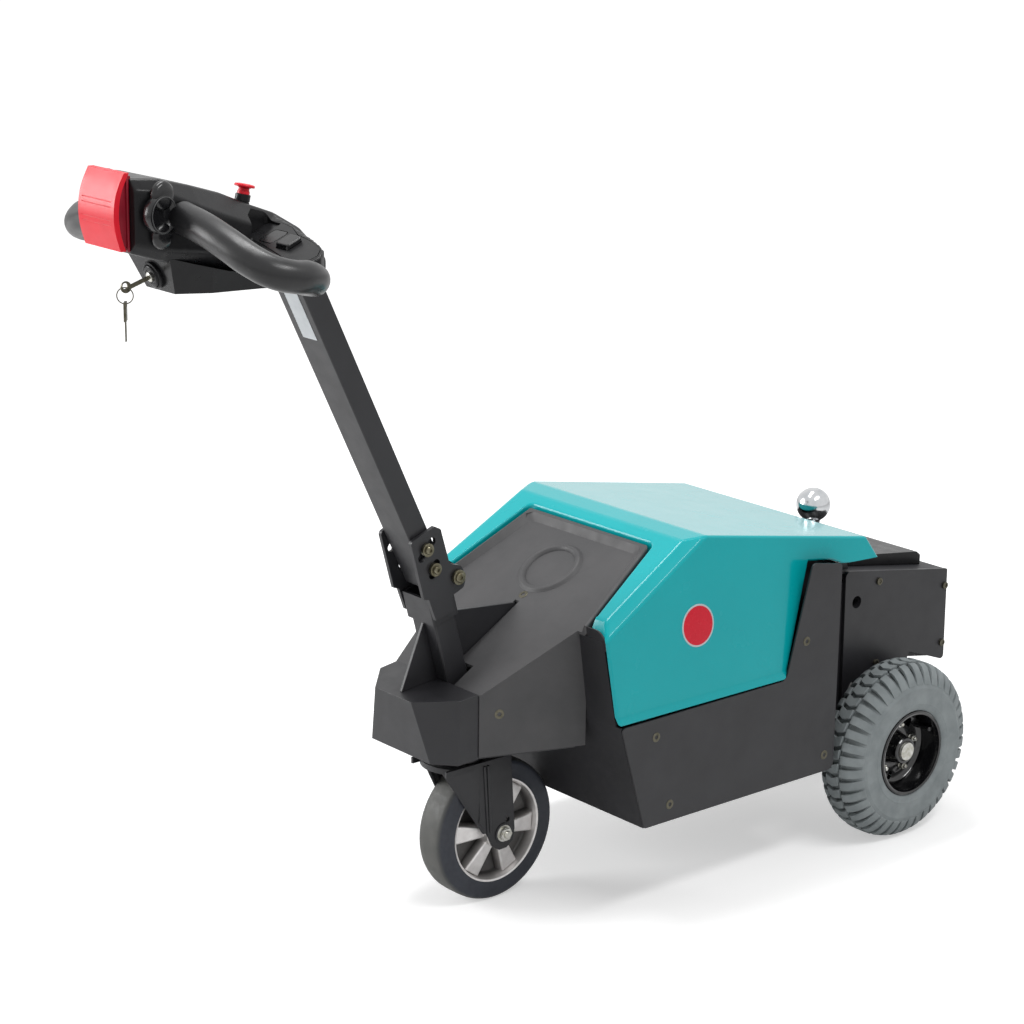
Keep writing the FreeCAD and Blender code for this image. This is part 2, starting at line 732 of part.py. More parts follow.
bolt_face = collar_half_width + bracket_sheet + 0.3
clamp_shapes = []
for bolt_x, bolt_z in (high_bolt, mid_bolt):
    shank = cylinder_y(bolt_x, bolt_z, clamp_bolt_radius, -bolt_face, bolt_face)
    for y0 in (-bolt_face - 5.0, bolt_face):
        shank = shank.fuse(cylinder_y(bolt_x, bolt_z, 9.0, y0, y0 + 5.0))
    clamp_shapes.append(single(shank))
save("clamp_bolts", Part.makeCompound(clamp_shapes))
pin = cylinder_y(pivot_x, pivot_z, pivot_pin_radius, -bolt_face, bolt_face)
for y0 in (-bolt_face - 5.0, bolt_face):
    pin = pin.fuse(cylinder_y(pivot_x, pivot_z, 10.0, y0, y0 + 5.0))
save("pivot_bolt", single(pin))

# ---------------------------------------------------------------- tiller head


def head_section(x, half, low, high, cut):
    outline = [
        (-half + cut, low), (half - cut, low), (half, low + cut), (half, high - cut),
        (half - cut, high), (-half + cut, high), (-half, high - cut), (-half, low + cut),
    ]
    return [V(station(x), y, z) for y, z in outline]


def wing_top(x, lift=0.0):
    return wing_plane_z - (x - wing_plane_x) * wing_plane_tilt + lift


def wing_slab(plan, z_low, lift, y_low=-300.0, y_high=300.0):
    """Prism over a plan outline, cut off by the tilted key plane."""
    prism = slab_xy(plan, z_low, 1100.0)
    above = slab_xz([(850.0, wing_top(850.0, lift)), (1100.0, wing_top(1100.0, lift)),
                     (1100.0, 1200.0), (850.0, 1200.0)], y_low, y_high)
    return prism.cut(above)


spine = loft([head_section(*rib) for rib in head_ribs])
wing_outline = wing_plan + [(x, -y) for x, y in reversed(wing_plan[1:-1])]
wings = wing_slab(wing_outline, wing_floor_z, 0.0)
upper_housing = spine.fuse(wings)


def lower_corner(index, z):
    share = (z - lower_bottom_z) / (lower_top_z - lower_bottom_z)
    x0, y0 = lower_bottom[index]
    x1, y1 = lower_top[index]
    return (x0 + (x1 - x0) * share, y0 + (y1 - y0) * share)


def lower_section(z):
    half = [lower_corner(i, z) for i in range(len(lower_top))]
    return [V(station(x), y, z) for x, y in half + [(x, -y) for x, y in reversed(half)]]


lower_block = loft([lower_section(865.0), lower_section(985.0)])
below_floor = slab_xz([(1150.0, 893.5)] + lower_floor + [(880.0, 840.0), (1150.0, 840.0)],
                      -80.0, 80.0)
head_underside = [(rib[0], rib[2] + lower_roof_drop) for rib in head_ribs]
above_roof = slab_xz([(1166.0, 1040.0)] + head_underside + [(874.0, 1040.0)], -80.0, 80.0)
lower_housing = lower_block.cut(below_floor).cut(above_roof)
arm_socket = arm_bar(arm_depth, arm_half_width, 800.0, arm_head_z)
lower_housing = single(lower_housing.cut(upper_housing).cut(arm_socket))
upper_housing = single(upper_housing.cut(arm_socket))
save("head_upper_housing", upper_housing)
save("head_lower_housing", lower_housing)

grip = pipe(grip_path, grip_radius)
grip = grip.cut(upper_housing).cut(lower_housing)
save_pair("grip", single(grip))

plate_plan = []
for x, y in wing_plan[2:-2]:
    away_x = 994.0 - x
    away_y = 98.0 - y
    reach = math.hypot(away_x, away_y)
    plate_plan.append((x + away_x / reach * key_plate_inset, y + away_y / reach * key_plate_inset))
key_plate = wing_slab(plate_plan, wing_floor_z, key_plate_rise).cut(upper_housing).cut(grip)
key_plate = single(key_plate)
save_pair("key_plate", key_plate)
key_solids = []
for x, y, half_x, half_y, extra in wing_keys:
    key_outline = [(x - half_x, y - half_y), (x + half_x, y - half_y),
                   (x + half_x, y + half_y), (x - half_x, y + half_y)]
    key_top = wing_slab(key_outline, wing_floor_z, key_plate_rise + key_rise + extra)
    key_solids.append(single(key_top.cut(upper_housing).cut(key_plate)))
wing_keys_left = Part.makeCompound(key_solids)
save_pair("wing_keys", wing_keys_left)

thumb_wings = rounded_xz(
    [(thumb_x - 12.0, thumb_z - thumb_half_height), (thumb_x + 14.0, thumb_z - thumb_half_height),
     (thumb_x + 14.0, thumb_z + thumb_half_height), (thumb_x - 12.0, thumb_z + thumb_half_height)],
    [9.0, 9.0, 9.0, 9.0], thumb_inner_y, thumb_inner_y + thumb_thickness)
thumb = thumb_wings.fuse(cylinder_y(thumb_x, thumb_z, thumb_ring_radius, thumb_inner_y,
                                    thumb_inner_y + thumb_thickness + 2.0))
thumb = thumb.cut(cylinder_y(thumb_x, thumb_z, thumb_cup_radius,
                             thumb_inner_y + thumb_thickness + 2.0 - thumb_cup_depth,
                             thumb_inner_y + thumb_thickness + 4.0))
thumb.rotate(V(station(thumb_x - 12.0), thumb_inner_y, thumb_z), V(0, 0, 1), thumb_turn)
thumb = thumb.cut(pipe(grip_path, grip_radius + running_gap)).cut(upper_housing)
save_pair("thumb_switch", single(thumb))

belly = slab_xz(belly_profile, -belly_half_width, belly_half_width)
save("belly_switch", single(belly))

stop_collar = Part.makeCylinder(stop_collar_radius, stop_collar_height)
stop_knob = Part.makeCylinder(stop_neck_radius, stop_height - stop_collar_height,
                              V(0, 0, stop_collar_height))
stop_knob = stop_knob.fuse(Part.makeCylinder(stop_flange_radius, 4.0, V(0, 0, stop_height - 4.0)))
for piece in (stop_collar, stop_knob):
    piece.rotate(V(0, 0, 0), V(0, 1, 0), stop_lean)
    piece.translate(V(station(stop_x), 0, stop_z))
save("stop_collar", single(stop_collar.cut(upper_housing)))
save("stop_button", single(stop_knob.cut(upper_housing)))

key_barrel = Part.makeCylinder(key_barrel_radius, key_barrel_length, V(0, 0, -4.0))
key_blade = Part.makeBox(5.0, 2 * key_half_sheet, key_blade_end, V(-2.5, -key_half_sheet, 0))
for piece in (key_barrel, key_blade):
    piece.rotate(V(0, 0, 0), V(0, 1, 0), 90.0 + key_dip)
    piece.translate(V(station(key_x), 0, key_z))
key_bow = cylinder_y(key_bow_x, key_bow_z, key_bow_radius, -key_half_sheet, key_half_sheet)
key_bow = key_bow.fuse(key_blade.cut(key_barrel))
key_bow = key_bow.cut(cylinder_y(ring_hole_x, ring_hole_z, ring_hole_radius, -10.0, 10.0))
save("key_switch", single(key_barrel.cut(lower_housing)))
save("key", single(key_bow))

ring_z = ring_hole_z - ring_hole_radius + ring_wire + ring_lift - ring_radius
key_ring = Part.makeTorus(ring_radius, ring_wire, V(0, 0, 0), V(0, 1, 0))
spare_key = Part.makeBox(3.2, 13.0, spare_head_top - spare_head_low,
                         V(-1.6, -6.5, spare_head_low - ring_z))
spare_key = spare_key.cut(Part.makeCylinder(2.0, 20.0, V(-10.0, 0, -ring_radius - 1.05),
                                            V(1, 0, 0)))
spare_key = spare_key.fuse(Part.makeBox(1.6, 6.0, spare_head_low - spare_blade_low,
                                        V(-0.8, -3.0, spare_blade_low - ring_z)))
for piece in (key_ring, spare_key):
    piece.rotate(V(0, 0, 0), V(0, 0, 1), ring_turn)
    piece.translate(V(station(ring_hole_x), 0, ring_z))
save("key_ring", single(key_ring))
save("spare_key", single(spare_key))

# ---------------------------------------------------------------- castor
plate_outline = [
    (castor_swivel_x - castor_plate_half_x, -castor_plate_half_y),
    (castor_swivel_x + castor_plate_half_x, -castor_plate_half_y),
    (castor_swivel_x + castor_plate_half_x, castor_plate_half_y),
    (castor_swivel_x - castor_plate_half_x, castor_plate_half_y),
]
bearing_gap = 0.3
castor_plate = slab_xy(plate_outline, castor_plate_z, nose_floor_z)
race_low = fork_crown_z + fork_crown_height + bearing_gap
castor_plate = castor_plate.fuse([
    cylinder_z(castor_swivel_x, 0, castor_race_radius, race_low, castor_plate_z),
    cylinder_z(castor_swivel_x, 0, kingpin_radius, fork_crown_z - 1.0, castor_plate_z),
    cylinder_z(castor_swivel_x, 0, 13.0, fork_crown_z - 2.8, fork_crown_z - bearing_gap),
])
save("castor_plate", single(castor_plate))

leg_outline = [
    (castor_swivel_x + 50.0, fork_crown_z + fork_crown_height), (castor_swivel_x + 50.0, 198.0),
    (632.0, 107.0), (622.0, 85.0), (610.0, 77.0), (597.0, 77.5), (586.0, 86.0), (583.0, 102.0),
    (590.0, 200.0), (590.0, fork_crown_z + fork_crown_height),
]
leg = slab_xz(leg_outline, fork_leg_outer - fork_leg_sheet, fork_leg_outer)
crown = cylinder_z(castor_swivel_x, 0, fork_crown_radius, fork_crown_z,
                   fork_crown_z + fork_crown_height)
crown = crown.common(box(400.0, 900.0, -fork_leg_outer, fork_leg_outer, 0.0, 400.0))
crown = crown.fuse(box(590.0, castor_swivel_x, -fork_leg_outer, fork_leg_outer, fork_crown_z,
                       fork_crown_z + fork_crown_height))
fork = crown.fuse([leg, mirrored(leg)])
fork = fork.cut(cylinder_z(castor_swivel_x, 0, kingpin_radius + wheel_clearance, 150.0, 300.0))
fork = fork.cut(cylinder_y(castor_axle_x, castor_radius, castor_bolt_radius, -60.0, 60.0))
save("castor_fork", single(fork))

castor_axle = cylinder_y(castor_axle_x, castor_radius, castor_bolt_radius, -fork_leg_outer,
                         fork_leg_outer)
for y0 in (-fork_leg_outer - axle_head_height, fork_leg_outer):
    castor_axle = castor_axle.fuse(cylinder_y(castor_axle_x, castor_radius, axle_head_radius, y0,
                                              y0 + axle_head_height))
save("castor_axle", single(castor_axle))

castor_tyre = turned_y([
    (castor_tyre_inner, -castor_half_width), (castor_radius - 4.0, -castor_half_width),
    (castor_radius, -castor_half_width + 5.0), (castor_radius, castor_half_width - 5.0),
    (castor_radius - 4.0, castor_half_width), (castor_tyre_inner, castor_half_width),
], castor_axle_x, castor_radius)
save("castor_tyre", single(castor_tyre))

castor_rim = turned_y([
    (castor_bolt_radius + wheel_clearance, -castor_hub_half),
    (castor_hub_radius, -castor_hub_half),
    (castor_hub_radius + 3.0, -14.0), (64.0, -14.0), (67.0, -castor_half_width),
    (castor_tyre_inner, -castor_half_width),
    (castor_tyre_inner, castor_half_width), (67.0, castor_half_width), (64.0, 14.0),
    (castor_hub_radius + 3.0, 14.0), (castor_hub_radius, castor_hub_half),
    (castor_bolt_radius + wheel_clearance, castor_hub_half),
], castor_axle_x, castor_radius)
for i in range(castor_pocket_count):
    middle = math.radians(360.0 * i / castor_pocket_count + 12.0)
    half = math.radians(180.0 / castor_pocket_count - castor_spoke_half_angle)
    corners = []
    for radius, spread in ((castor_pocket_inner, 0.75), (castor_pocket_outer, 1.0)):
        for turn in (-1, 1) if radius == castor_pocket_inner else (1, -1):
            angle = middle + turn * half * spread
            corners.append((castor_axle_x + radius * math.cos(angle),
                            castor_radius + radius * math.sin(angle)))
    pocket = slab_xz(corners, 14.0 - castor_pocket_depth + 6.0, 20.0)
    castor_rim = castor_rim.cut(pocket).cut(mirrored(pocket))
save("castor_rim", single(castor_rim))

# ---------------------------------------------------------------- drive wheels
tyre_inner = drive_inner_face
tyre_outer = drive_inner_face + drive_tyre_width
bead = drive_rim_radius
tyre_profile = [
    (bead, tyre_inner + 5.0), (bead + 14.0, tyre_inner), (bead + 38.0, tyre_inner),
    (drive_radius - shoulder_drop - 6.0, tyre_inner + 4.0),
    (drive_radius - 4.0, tyre_inner + shoulder_inset),
    (drive_radius, tyre_inner + 28.0), (drive_radius, tyre_outer - 28.0),
    (drive_radius - 4.0, tyre_outer - shoulder_inset),
    (drive_radius - shoulder_drop - 6.0, tyre_outer - 4.0),
    (bead + 38.0, tyre_outer), (bead + 14.0, tyre_outer), (bead, tyre_outer - 5.0),
]
drive_tyre = single(turned_y(tyre_profile, 0.0, drive_radius))
save_pair("drive_tyre", drive_tyre)

disc_y = tyre_outer - 5.0 - drive_rim_dish
drive_rim = single(turned_y([
    (axle_radius, tyre_inner + 4.0), (hub_radius, tyre_inner + 4.0), (hub_radius, disc_y - 4.0),
    (bead - rim_wall - 8.0, disc_y - 4.0), (bead - rim_wall, disc_y - 12.0),
    (bead - rim_wall, tyre_inner + 5.0), (bead, tyre_inner + 5.0),
    (bead, tyre_outer - 5.0), (bead - 4.0, tyre_outer - 5.0), (bead - 8.0, tyre_outer - 12.0),
    (bead - 8.0, disc_y), (hub_radius + 4.0, disc_y), (hub_radius, tyre_outer - 16.0),
    (axle_radius, tyre_outer - 16.0),
], 0.0, drive_radius))
save_pair("drive_rim", drive_rim)

shaft_inner = drive_case_half_y - shaft_entry
half_shaft = cylinder_y(0.0, drive_radius, axle_radius, shaft_inner, tyre_outer - 16.0)
half_shaft = half_shaft.fuse(cylinder_y(0.0, drive_radius, hub_cap_radius + 2.0,
                                        tyre_outer - 16.0, tyre_outer - 16.0 + hub_cap_height))
save_pair("half_shaft", single(half_shaft))

# ---------------------------------------------------------------- rear section
plate_points = [
    rear_top_front, rear_top_back, rear_low_back, rear_arch, (rear_waist_x, 200.0),
    (rear_waist_x, rear_foot_z), (rear_foot_front_x, rear_foot_z),
]
plate_radii = [9.0, 2.0, 6.0, 4.0, 12.0, 12.0, 12.0]
rear_plate = rounded_xz(plate_points, plate_radii, rear_half_width - heavy_plate, rear_half_width)
frame_points = [
    (panel_rear_low[0], 385.0), (rear_end_x + heavy_plate, 355.0), (rear_end_x + heavy_plate, 224.0),
    (-70.0, 238.0), (-50.0, 196.0), (-50.0, 96.0), (panel_rear_low[0], 140.0),
]
frame_wall = slab_xz(frame_points, drive_case_half_y,
                     rear_half_width - heavy_plate)
for hole_z in (side_hole_low_z, side_hole_high_z):
    hole = cylinder_y(side_hole_x, hole_z, side_hole_radius, 100.0, 160.0)
    rear_plate = rear_plate.cut(hole)
    frame_wall = frame_wall.cut(hole)
axle_hole = cylinder_y(0.0, drive_radius, axle_radius + wheel_clearance, 100.0, 160.0)
rear_plate = rear_plate.cut(axle_hole)
frame_wall = frame_wall.cut(axle_hole)
save_pair("rear_side_plate", single(rear_plate))

inner_y = rear_half_width - heavy_plate
top_slope = (rear_top_front[1] - rear_top_back[1]) / (rear_top_front[0] - rear_top_back[0])


def rear_roof_z(x):
    return rear_top_back[1] + (x - rear_top_back[0]) * top_slope


roof = slab_xz([(panel_rear_low[0], rear_roof_z(panel_rear_low[0]) - 1.0),
                (rear_end_x, rear_roof_z(rear_end_x) - 1.0),
                (rear_end_x, rear_roof_z(rear_end_x) - 5.0),
                (panel_rear_low[0], rear_roof_z(panel_rear_low[0]) - 5.0)], -inner_y, inner_y)
back_wall = box(rear_end_x, rear_end_x + heavy_plate, -inner_y, inner_y, rear_low_back[1] + 2.0,
                rear_roof_z(rear_end_x) - 1.0)
rear_frame = roof.fuse([back_wall, frame_wall, mirrored(frame_wall)])
save("rear_frame", single(rear_frame))

cover_back = rear_cover_back_x - 12.0


def cover_low(x):
    return rear_roof_z(x) - 1.0


cover_front = panel_rear_low[0]
cover_outline = [
    (cover_front, cover_low(cover_front)), (cover_back, cover_low(cover_back)),
    (cover_back, cover_low(cover_back) + 15.0), (cover_back + 8.0, cover_low(cover_back) + 21.0),
    (cover_front, cover_low(cover_front) + rear_cover_edge),
]
rear_cover = slab_xz(cover_outline, -rear_cover_half, rear_cover_half)
cover_core = slab_xz([
    (cover_front - 3.0, cover_low(cover_front) - 3.0), (cover_back + 3.0, cover_low(cover_back) - 3.0),
    (cover_back + 3.0, cover_low(cover_back) + 13.0),
    (cover_back + 9.0, cover_low(cover_back) + 18.0),
    (cover_front - 3.0, cover_low(cover_front) + rear_cover_edge - 3.0)],
    -rear_cover_half + 3.0, rear_cover_half - 3.0)
rear_cover = rear_cover.cut(cover_core)
rear_cover = rear_cover.cut(cylinder_z(ball_x, 0, ball_flange_radius + 0.4, 300.0, 500.0))
save("rear_cover", single(rear_cover))

hinge = slab_xz(
    [(hood_hinge_x - 16.0, rear_roof_z(hood_hinge_x - 16.0) - 1.0),
     (hood_hinge_x + 16.0, rear_roof_z(hood_hinge_x + 16.0) - 1.0),
     (hood_hinge_x + hinge_eye_radius, hood_hinge_z), (hood_hinge_x - hinge_eye_radius, hood_hinge_z)],
    hinge_lug_y, hinge_lug_y + hinge_leaf)
hinge = hinge.fuse(cylinder_y(hood_hinge_x, hood_hinge_z, hinge_eye_radius, hinge_lug_y,
                              hinge_lug_y + hinge_leaf))
hinge = hinge.fuse(cylinder_y(hood_hinge_x, hood_hinge_z, hinge_pin_radius, hinge_lug_y,
                              hinge_lug_y + 2 * hinge_leaf + 2.0))
save_pair("hood_hinge", single(hinge))

ball = Part.makeSphere(ball_radius, V(station(ball_x), 0, ball_z))
roof_under_ball = rear_roof_z(ball_x)
stem = cylinder_z(ball_x, 0, ball_neck_radius, roof_under_ball - 30.0, ball_z)
flange_disc = cylinder_z(ball_x, 0, ball_flange_radius, roof_under_ball - 10.0,
                         roof_under_ball + 22.0)
tow_ball = ball.fuse([stem, flange_disc]).cut(rear_frame)
save("tow_ball", single(tow_ball))

# ---------------------------------------------------------------- heavy pieces inside
battery = box(battery_x[0], battery_x[1], -battery_half_y, battery_half_y, floor_gap + sheet,
              battery_z[1])
save("battery", battery)
case = cylinder_y(0.0, drive_radius, drive_case_radius, -drive_case_half_y, drive_case_half_y)
case = case.fuse(box(drive_box[0], drive_box[1], -70.0, 70.0, drive_radius - 38.0,
                     drive_radius + 60.0))
for side in (-1, 1):
    bore_low = min(side * drive_case_half_y, side * (drive_case_half_y - shaft_entry - 1.0))
    case = case.cut(cylinder_y(0.0, drive_radius, axle_radius + wheel_clearance, bore_low,
                               bore_low + shaft_entry + 1.0))
save("drive_unit", single(case))
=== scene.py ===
# %% [markdown]
# # A walk-beside tow tractor, finished piece by piece
#
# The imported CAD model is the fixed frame: it gives every size, and the bodies that move. On top of it
# this lesson builds the shapes that a flat-faced model lacks (a rounded hood, treaded tyres, a moulded
# control head) and gives each piece a finish made of nodes. Everything is in metres, +X forward to the
# tiller, +Y to the machine's left, +Z up, with the floor at zero.

# %% Load the frame
import math

import bmesh
import bpy
from mathutils import Matrix, Vector


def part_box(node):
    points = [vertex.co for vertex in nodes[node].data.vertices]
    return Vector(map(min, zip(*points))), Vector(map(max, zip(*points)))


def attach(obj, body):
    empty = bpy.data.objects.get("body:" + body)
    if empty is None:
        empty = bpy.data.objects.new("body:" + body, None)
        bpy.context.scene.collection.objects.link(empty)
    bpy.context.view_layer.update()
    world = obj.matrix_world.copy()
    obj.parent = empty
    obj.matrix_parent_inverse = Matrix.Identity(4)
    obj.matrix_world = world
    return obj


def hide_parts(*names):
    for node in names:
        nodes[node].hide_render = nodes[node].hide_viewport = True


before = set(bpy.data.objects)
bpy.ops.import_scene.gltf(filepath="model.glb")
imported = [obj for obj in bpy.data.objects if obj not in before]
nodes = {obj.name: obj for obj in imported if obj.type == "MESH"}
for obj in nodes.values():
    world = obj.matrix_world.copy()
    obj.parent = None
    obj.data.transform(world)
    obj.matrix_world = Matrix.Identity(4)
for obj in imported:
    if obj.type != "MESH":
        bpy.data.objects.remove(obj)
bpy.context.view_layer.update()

# %% [markdown]
# ## A measuring stick
#
# The drawing of the machine measures forward from the rear axle, in millimetres. The frame measures from
# the middle of the whole length, in metres. One small function turns the first into the second, so every
# number below can be read as a workshop dimension.

# %% Where things are
MM = 0.001
tyre_low, tyre_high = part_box("drive_tyre_left")
castor_low, castor_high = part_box("castor_tyre")
AXLE_X = (tyre_low.x + tyre_high.x) / 2
HUB = Vector((AXLE_X, 0, (tyre_low.z + tyre_high.z) / 2))
CASTOR = Vector(((castor_low.x + castor_high.x) / 2, 0, (castor_low.z + castor_high.z) / 2))


def at(x, y, z):
    """A point given in millimetres from the rear axle, the middle plane and the floor."""
    return Vector((AXLE_X + x * MM, y * MM, z * MM))


print("rear axle at", [round(v, 4) for v in HUB], "castor at", [round(v, 4) for v in CASTOR])

# %% [markdown]
# ## Hand tools
#
# An operator works on whatever is selected, so each tool starts from nothing selected. `edit` opens one
# object for editing, `pick` selects the faces or edges that pass a test on their place, and `rest` goes
# back to object mode. They stand in for clicking in the window.

# %% Select and edit


def rest():
    if bpy.context.mode != "OBJECT":
        bpy.ops.object.mode_set(mode="OBJECT")
    bpy.ops.object.select_all(action="DESELECT")


def choose(obj):
    rest()
    obj.select_set(True)
    bpy.context.view_layer.objects.active = obj


def edit(obj, everything=True):
    choose(obj)
    bpy.ops.object.mode_set(mode="EDIT")
    bpy.ops.mesh.select_mode(type="VERT")
    bpy.ops.mesh.select_all(action="SELECT" if everything else "DESELECT")


def pick(obj, kind, test):
    """In edit mode: select the FACE or EDGE elements that pass the test. Returns how many."""
    bpy.ops.mesh.select_mode(type=kind)
    bpy.ops.mesh.select_all(action="DESELECT")
    shape = bmesh.from_edit_mesh(obj.data)
    found = 0
    for element in {"FACE": shape.faces, "EDGE": shape.edges}[kind]:
        chosen = bool(test(element))
        element.select_set(chosen)
        found += chosen
    shape.select_flush_mode()
    bmesh.update_edit_mesh(obj.data)
    return found


def face_outwards(obj):
    edit(obj)
    bpy.ops.mesh.remove_doubles(threshold=0.00001)
    bpy.ops.mesh.normals_make_consistent(inside=False)
    rest()


# %% [markdown]
# ## Starting shapes
#
# Most pieces of a machine are either cut from sheet, so an outline pulled to a thickness, or turned on a
# lathe, so a profile spun round an axis. A circle primitive with one corner per outline point is the
# start for both: its corners are moved onto the outline, and then it is extruded or spun.

# %% Outline, block and lathe


def outline(name, points, filled=True):
    rest()
    bpy.ops.mesh.primitive_circle_add(vertices=len(points), radius=1,
                                      fill_type="NGON" if filled else "NOTHING")
    obj = bpy.context.object
    obj.name = name
    for corner, point in zip(obj.data.vertices, points):
        corner.co = point
    return obj


def block(name, points, pull):
    """The outline pulled along a vector, closed and facing outwards."""
    obj = outline(name, points)
    edit(obj)
    bpy.ops.mesh.extrude_region_move(TRANSFORM_OT_translate={"value": pull})
    face_outwards(obj)
    return obj


def lathe(name, profile, centre=Vector(), axis="Y", steps=64):
    """A closed profile of (radius, place along the axis) in millimetres, spun once round the axis."""
    turn = {"Y": (0, 1, 0), "Z": (0, 0, 1)}[axis]
    spots = [centre + Vector((0, s * MM, r * MM) if axis == "Y" else (r * MM, 0, s * MM))
             for r, s in profile]
    obj = outline(name, spots, filled=False)
    edit(obj)
    bpy.ops.mesh.spin(steps=steps, angle=2 * math.pi, center=centre, axis=turn)
    face_outwards(obj)
    return obj


def pin(radius, low, high):
    """The profile of a plain round bar, for cutting holes."""
    return [(radius, low), (0.001, low), (0.001, high), (radius, high)]


def slab(name, outline_xz, y0, y1):
    """A plate seen from the side: outline in millimetres, from y0 to y1."""
    return block(name, [at(x, y0, z) for x, z in outline_xz], (0, (y1 - y0) * MM, 0))


def plan_slab(name, outline_xy, z0, z1):
    return block(name, [at(x, y, z0) for x, y in outline_xy], (0, 0, (z1 - z0) * MM))


# %% [markdown]
# ## Finishing tools
#
# Real edges are never knife sharp: sheet has a small radius and castings a large one, and that radius is
# what catches the light. `soften` rounds every edge sharper than an angle, and `bevel_edges` only those
# that pass a test. `cut_away` is a Boolean whose cutter is then thrown away. `join` melts several meshes
# into one object, and `copy_of` gives a repeat its own mesh.

# %% Modify, soften, cut


def modify(obj, kind, **settings):
    """Add a modifier, set it and apply it."""
    modifier = obj.modifiers.new(kind.title(), kind)
    for name, value in settings.items():
        setattr(modifier, name, value)
    choose(obj)
    bpy.ops.object.modifier_apply(modifier=modifier.name)
    rest()
    return obj


def soften(obj, width, segments=3, angle=30.0):
    return modify(obj, "BEVEL", width=width * MM, segments=segments, limit_method="ANGLE",
                  angle_limit=math.radians(angle), use_clamp_overlap=True)


def bevel_edges(obj, test, width, segments, clamp=True):
    """Round the edges that pass the test. Returns how many they were."""
    edit(obj, everything=False)
    found = pick(obj, "EDGE", test)
    bpy.ops.mesh.bevel(offset=width * MM, segments=segments, affect="EDGES", clamp_overlap=clamp)
    rest()
    return found


def cut_away(obj, cutter):
    modify(obj, "BOOLEAN", operation="DIFFERENCE", solver="EXACT", object=cutter)
    bpy.data.objects.remove(cutter)
    return obj


# %% Join, copy and mirror
MIRROR_Y = Matrix.Scale(-1, 4, (0, 1, 0))


def join(name, pieces):
    rest()
    for piece in pieces:
        piece.select_set(True)
    bpy.context.view_layer.objects.active = pieces[0]
    bpy.ops.object.join()
    pieces[0].name = name
    rest()
    return pieces[0]


def moved(obj, matrix):
    """The mesh itself moved. A mirror turns the faces inside out, so they are flipped back."""
    obj.data.transform(matrix)
    if matrix.determinant() < 0:
        obj.data.flip_normals()
    return obj


def on_side(obj, side):
    return obj if side > 0 else moved(obj, MIRROR_Y)


def copy_of(obj, name, matrix=Matrix.Identity(4)):
    twin = bpy.data.objects.new(name, obj.data.copy())
    bpy.context.scene.collection.objects.link(twin)
    return moved(twin, matrix)


def turned_about(centre, angle, axis):
    return Matrix.Translation(centre) @ Matrix.Rotation(angle, 4, axis) @ Matrix.Translation(-centre)


# %% [markdown]
# A CAD node's mesh is loose triangles. `cad_copy` merges a copy of it, and makes its flat faces whole
# again, so that only real edges are left to round. `crisp` then rounds them.

# %% Copies of CAD nodes


def cad_copy(node, name, whole_faces=True):
    obj = copy_of(nodes[node], name)
    edit(obj)
    bpy.ops.mesh.customdata_custom_splitnormals_clear()
    bpy.ops.mesh.remove_doubles(threshold=0.00002)
    if whole_faces:
        bpy.ops.mesh.dissolve_limited(angle_limit=math.radians(0.6))
    rest()
    return obj


def crisp(node, width=1.0, segments=2, angle=25.0):
    return soften(cad_copy(node, node + "_shell"), width, segments, angle)


# %% [markdown]
# ## Hand a piece over
#
# The last step for every piece: it gets its finish, smooth shading up to an angle, the CAD body it moves
# with, and the CAD nodes it stands for. Weighted normals let a big flat face keep its own direction, so
# the shading turns only in the small rounded strips beside it. A left-hand piece can be handed over with
# its mirror image, because the names of nodes and bodies differ only in left and right.


def hand_over(obj, body, finish, replaces=(), slot=None, smooth=35.0):
    obj.data.materials.clear()
    obj.data.materials.append(finish)
    choose(obj)
    bpy.ops.object.shade_smooth_by_angle(angle=math.radians(smooth))
    modify(obj, "WEIGHTED_NORMAL", keep_sharp=True)
    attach(obj, body)
    if replaces:
        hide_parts(*replaces)
    print(obj.name, len(obj.data.polygons), "faces, rides on", body)
    return obj


def to_right(text):
    return text.replace("left", "right")


def hand_over_pair(obj, body, finish, replaces=(), **more):
    twin = copy_of(obj, to_right(obj.name), MIRROR_Y)
    hand_over(obj, body, finish, replaces, **more)
    hand_over(twin, to_right(body), finish, [to_right(node) for node in replaces], **more)


# %% [markdown]
# ## How the finishes are built
#
# Each finish is a Principled shader fed by noise in Object coordinates, so the grain stays on the piece
# when it moves. Three things vary: the colour a little, the roughness a little, and the surface height.
# Their scale is counted in bumps per metre: 1500 is powder-coat grain, 20 is the cloudiness of a panel.
# A value that is the same all over sits on the shader itself.

# %% Node helpers


def add(tree, kind, sockets, **settings):
    """A new node. Each socket gets a value, or a link where it is given another node's output."""
    node = tree.nodes.new("ShaderNode" + kind)
    for name, value in settings.items():
        setattr(node, name, value)
    for socket, value in sockets.items():
        if isinstance(value, bpy.types.NodeSocket):
            tree.links.new(value, node.inputs[socket])
        else:
            node.inputs[socket].default_value = value
    return node


def object_place(tree):
    return tree.nodes.new("ShaderNodeTexCoord").outputs["Object"]


def grain(tree, scale, detail=3.0):
    """Noise with this many bumps a metre."""
    return add(tree, "TexNoise", {"Vector": object_place(tree), "Scale": scale,
                                  "Detail": detail}).outputs[0]


def span(tree, value, from_min, from_max, to_min, to_max):
    return add(tree, "MapRange", {"Value": value, "From Min": from_min, "From Max": from_max,
                                  "To Min": to_min, "To Max": to_max}).outputs[0]


def cloudy(tree, scale, dark, light):
    """Two colours mixed by the middle of a noise."""
    node = add(tree, "ValToRGB", {"Fac": grain(tree, scale, 5.0)})
    for stop, place, colour in zip(node.color_ramp.elements, (0.3, 0.7), (dark, light)):
        stop.position = place
        stop.color = (*colour, 1.0)
    return node.outputs[0]


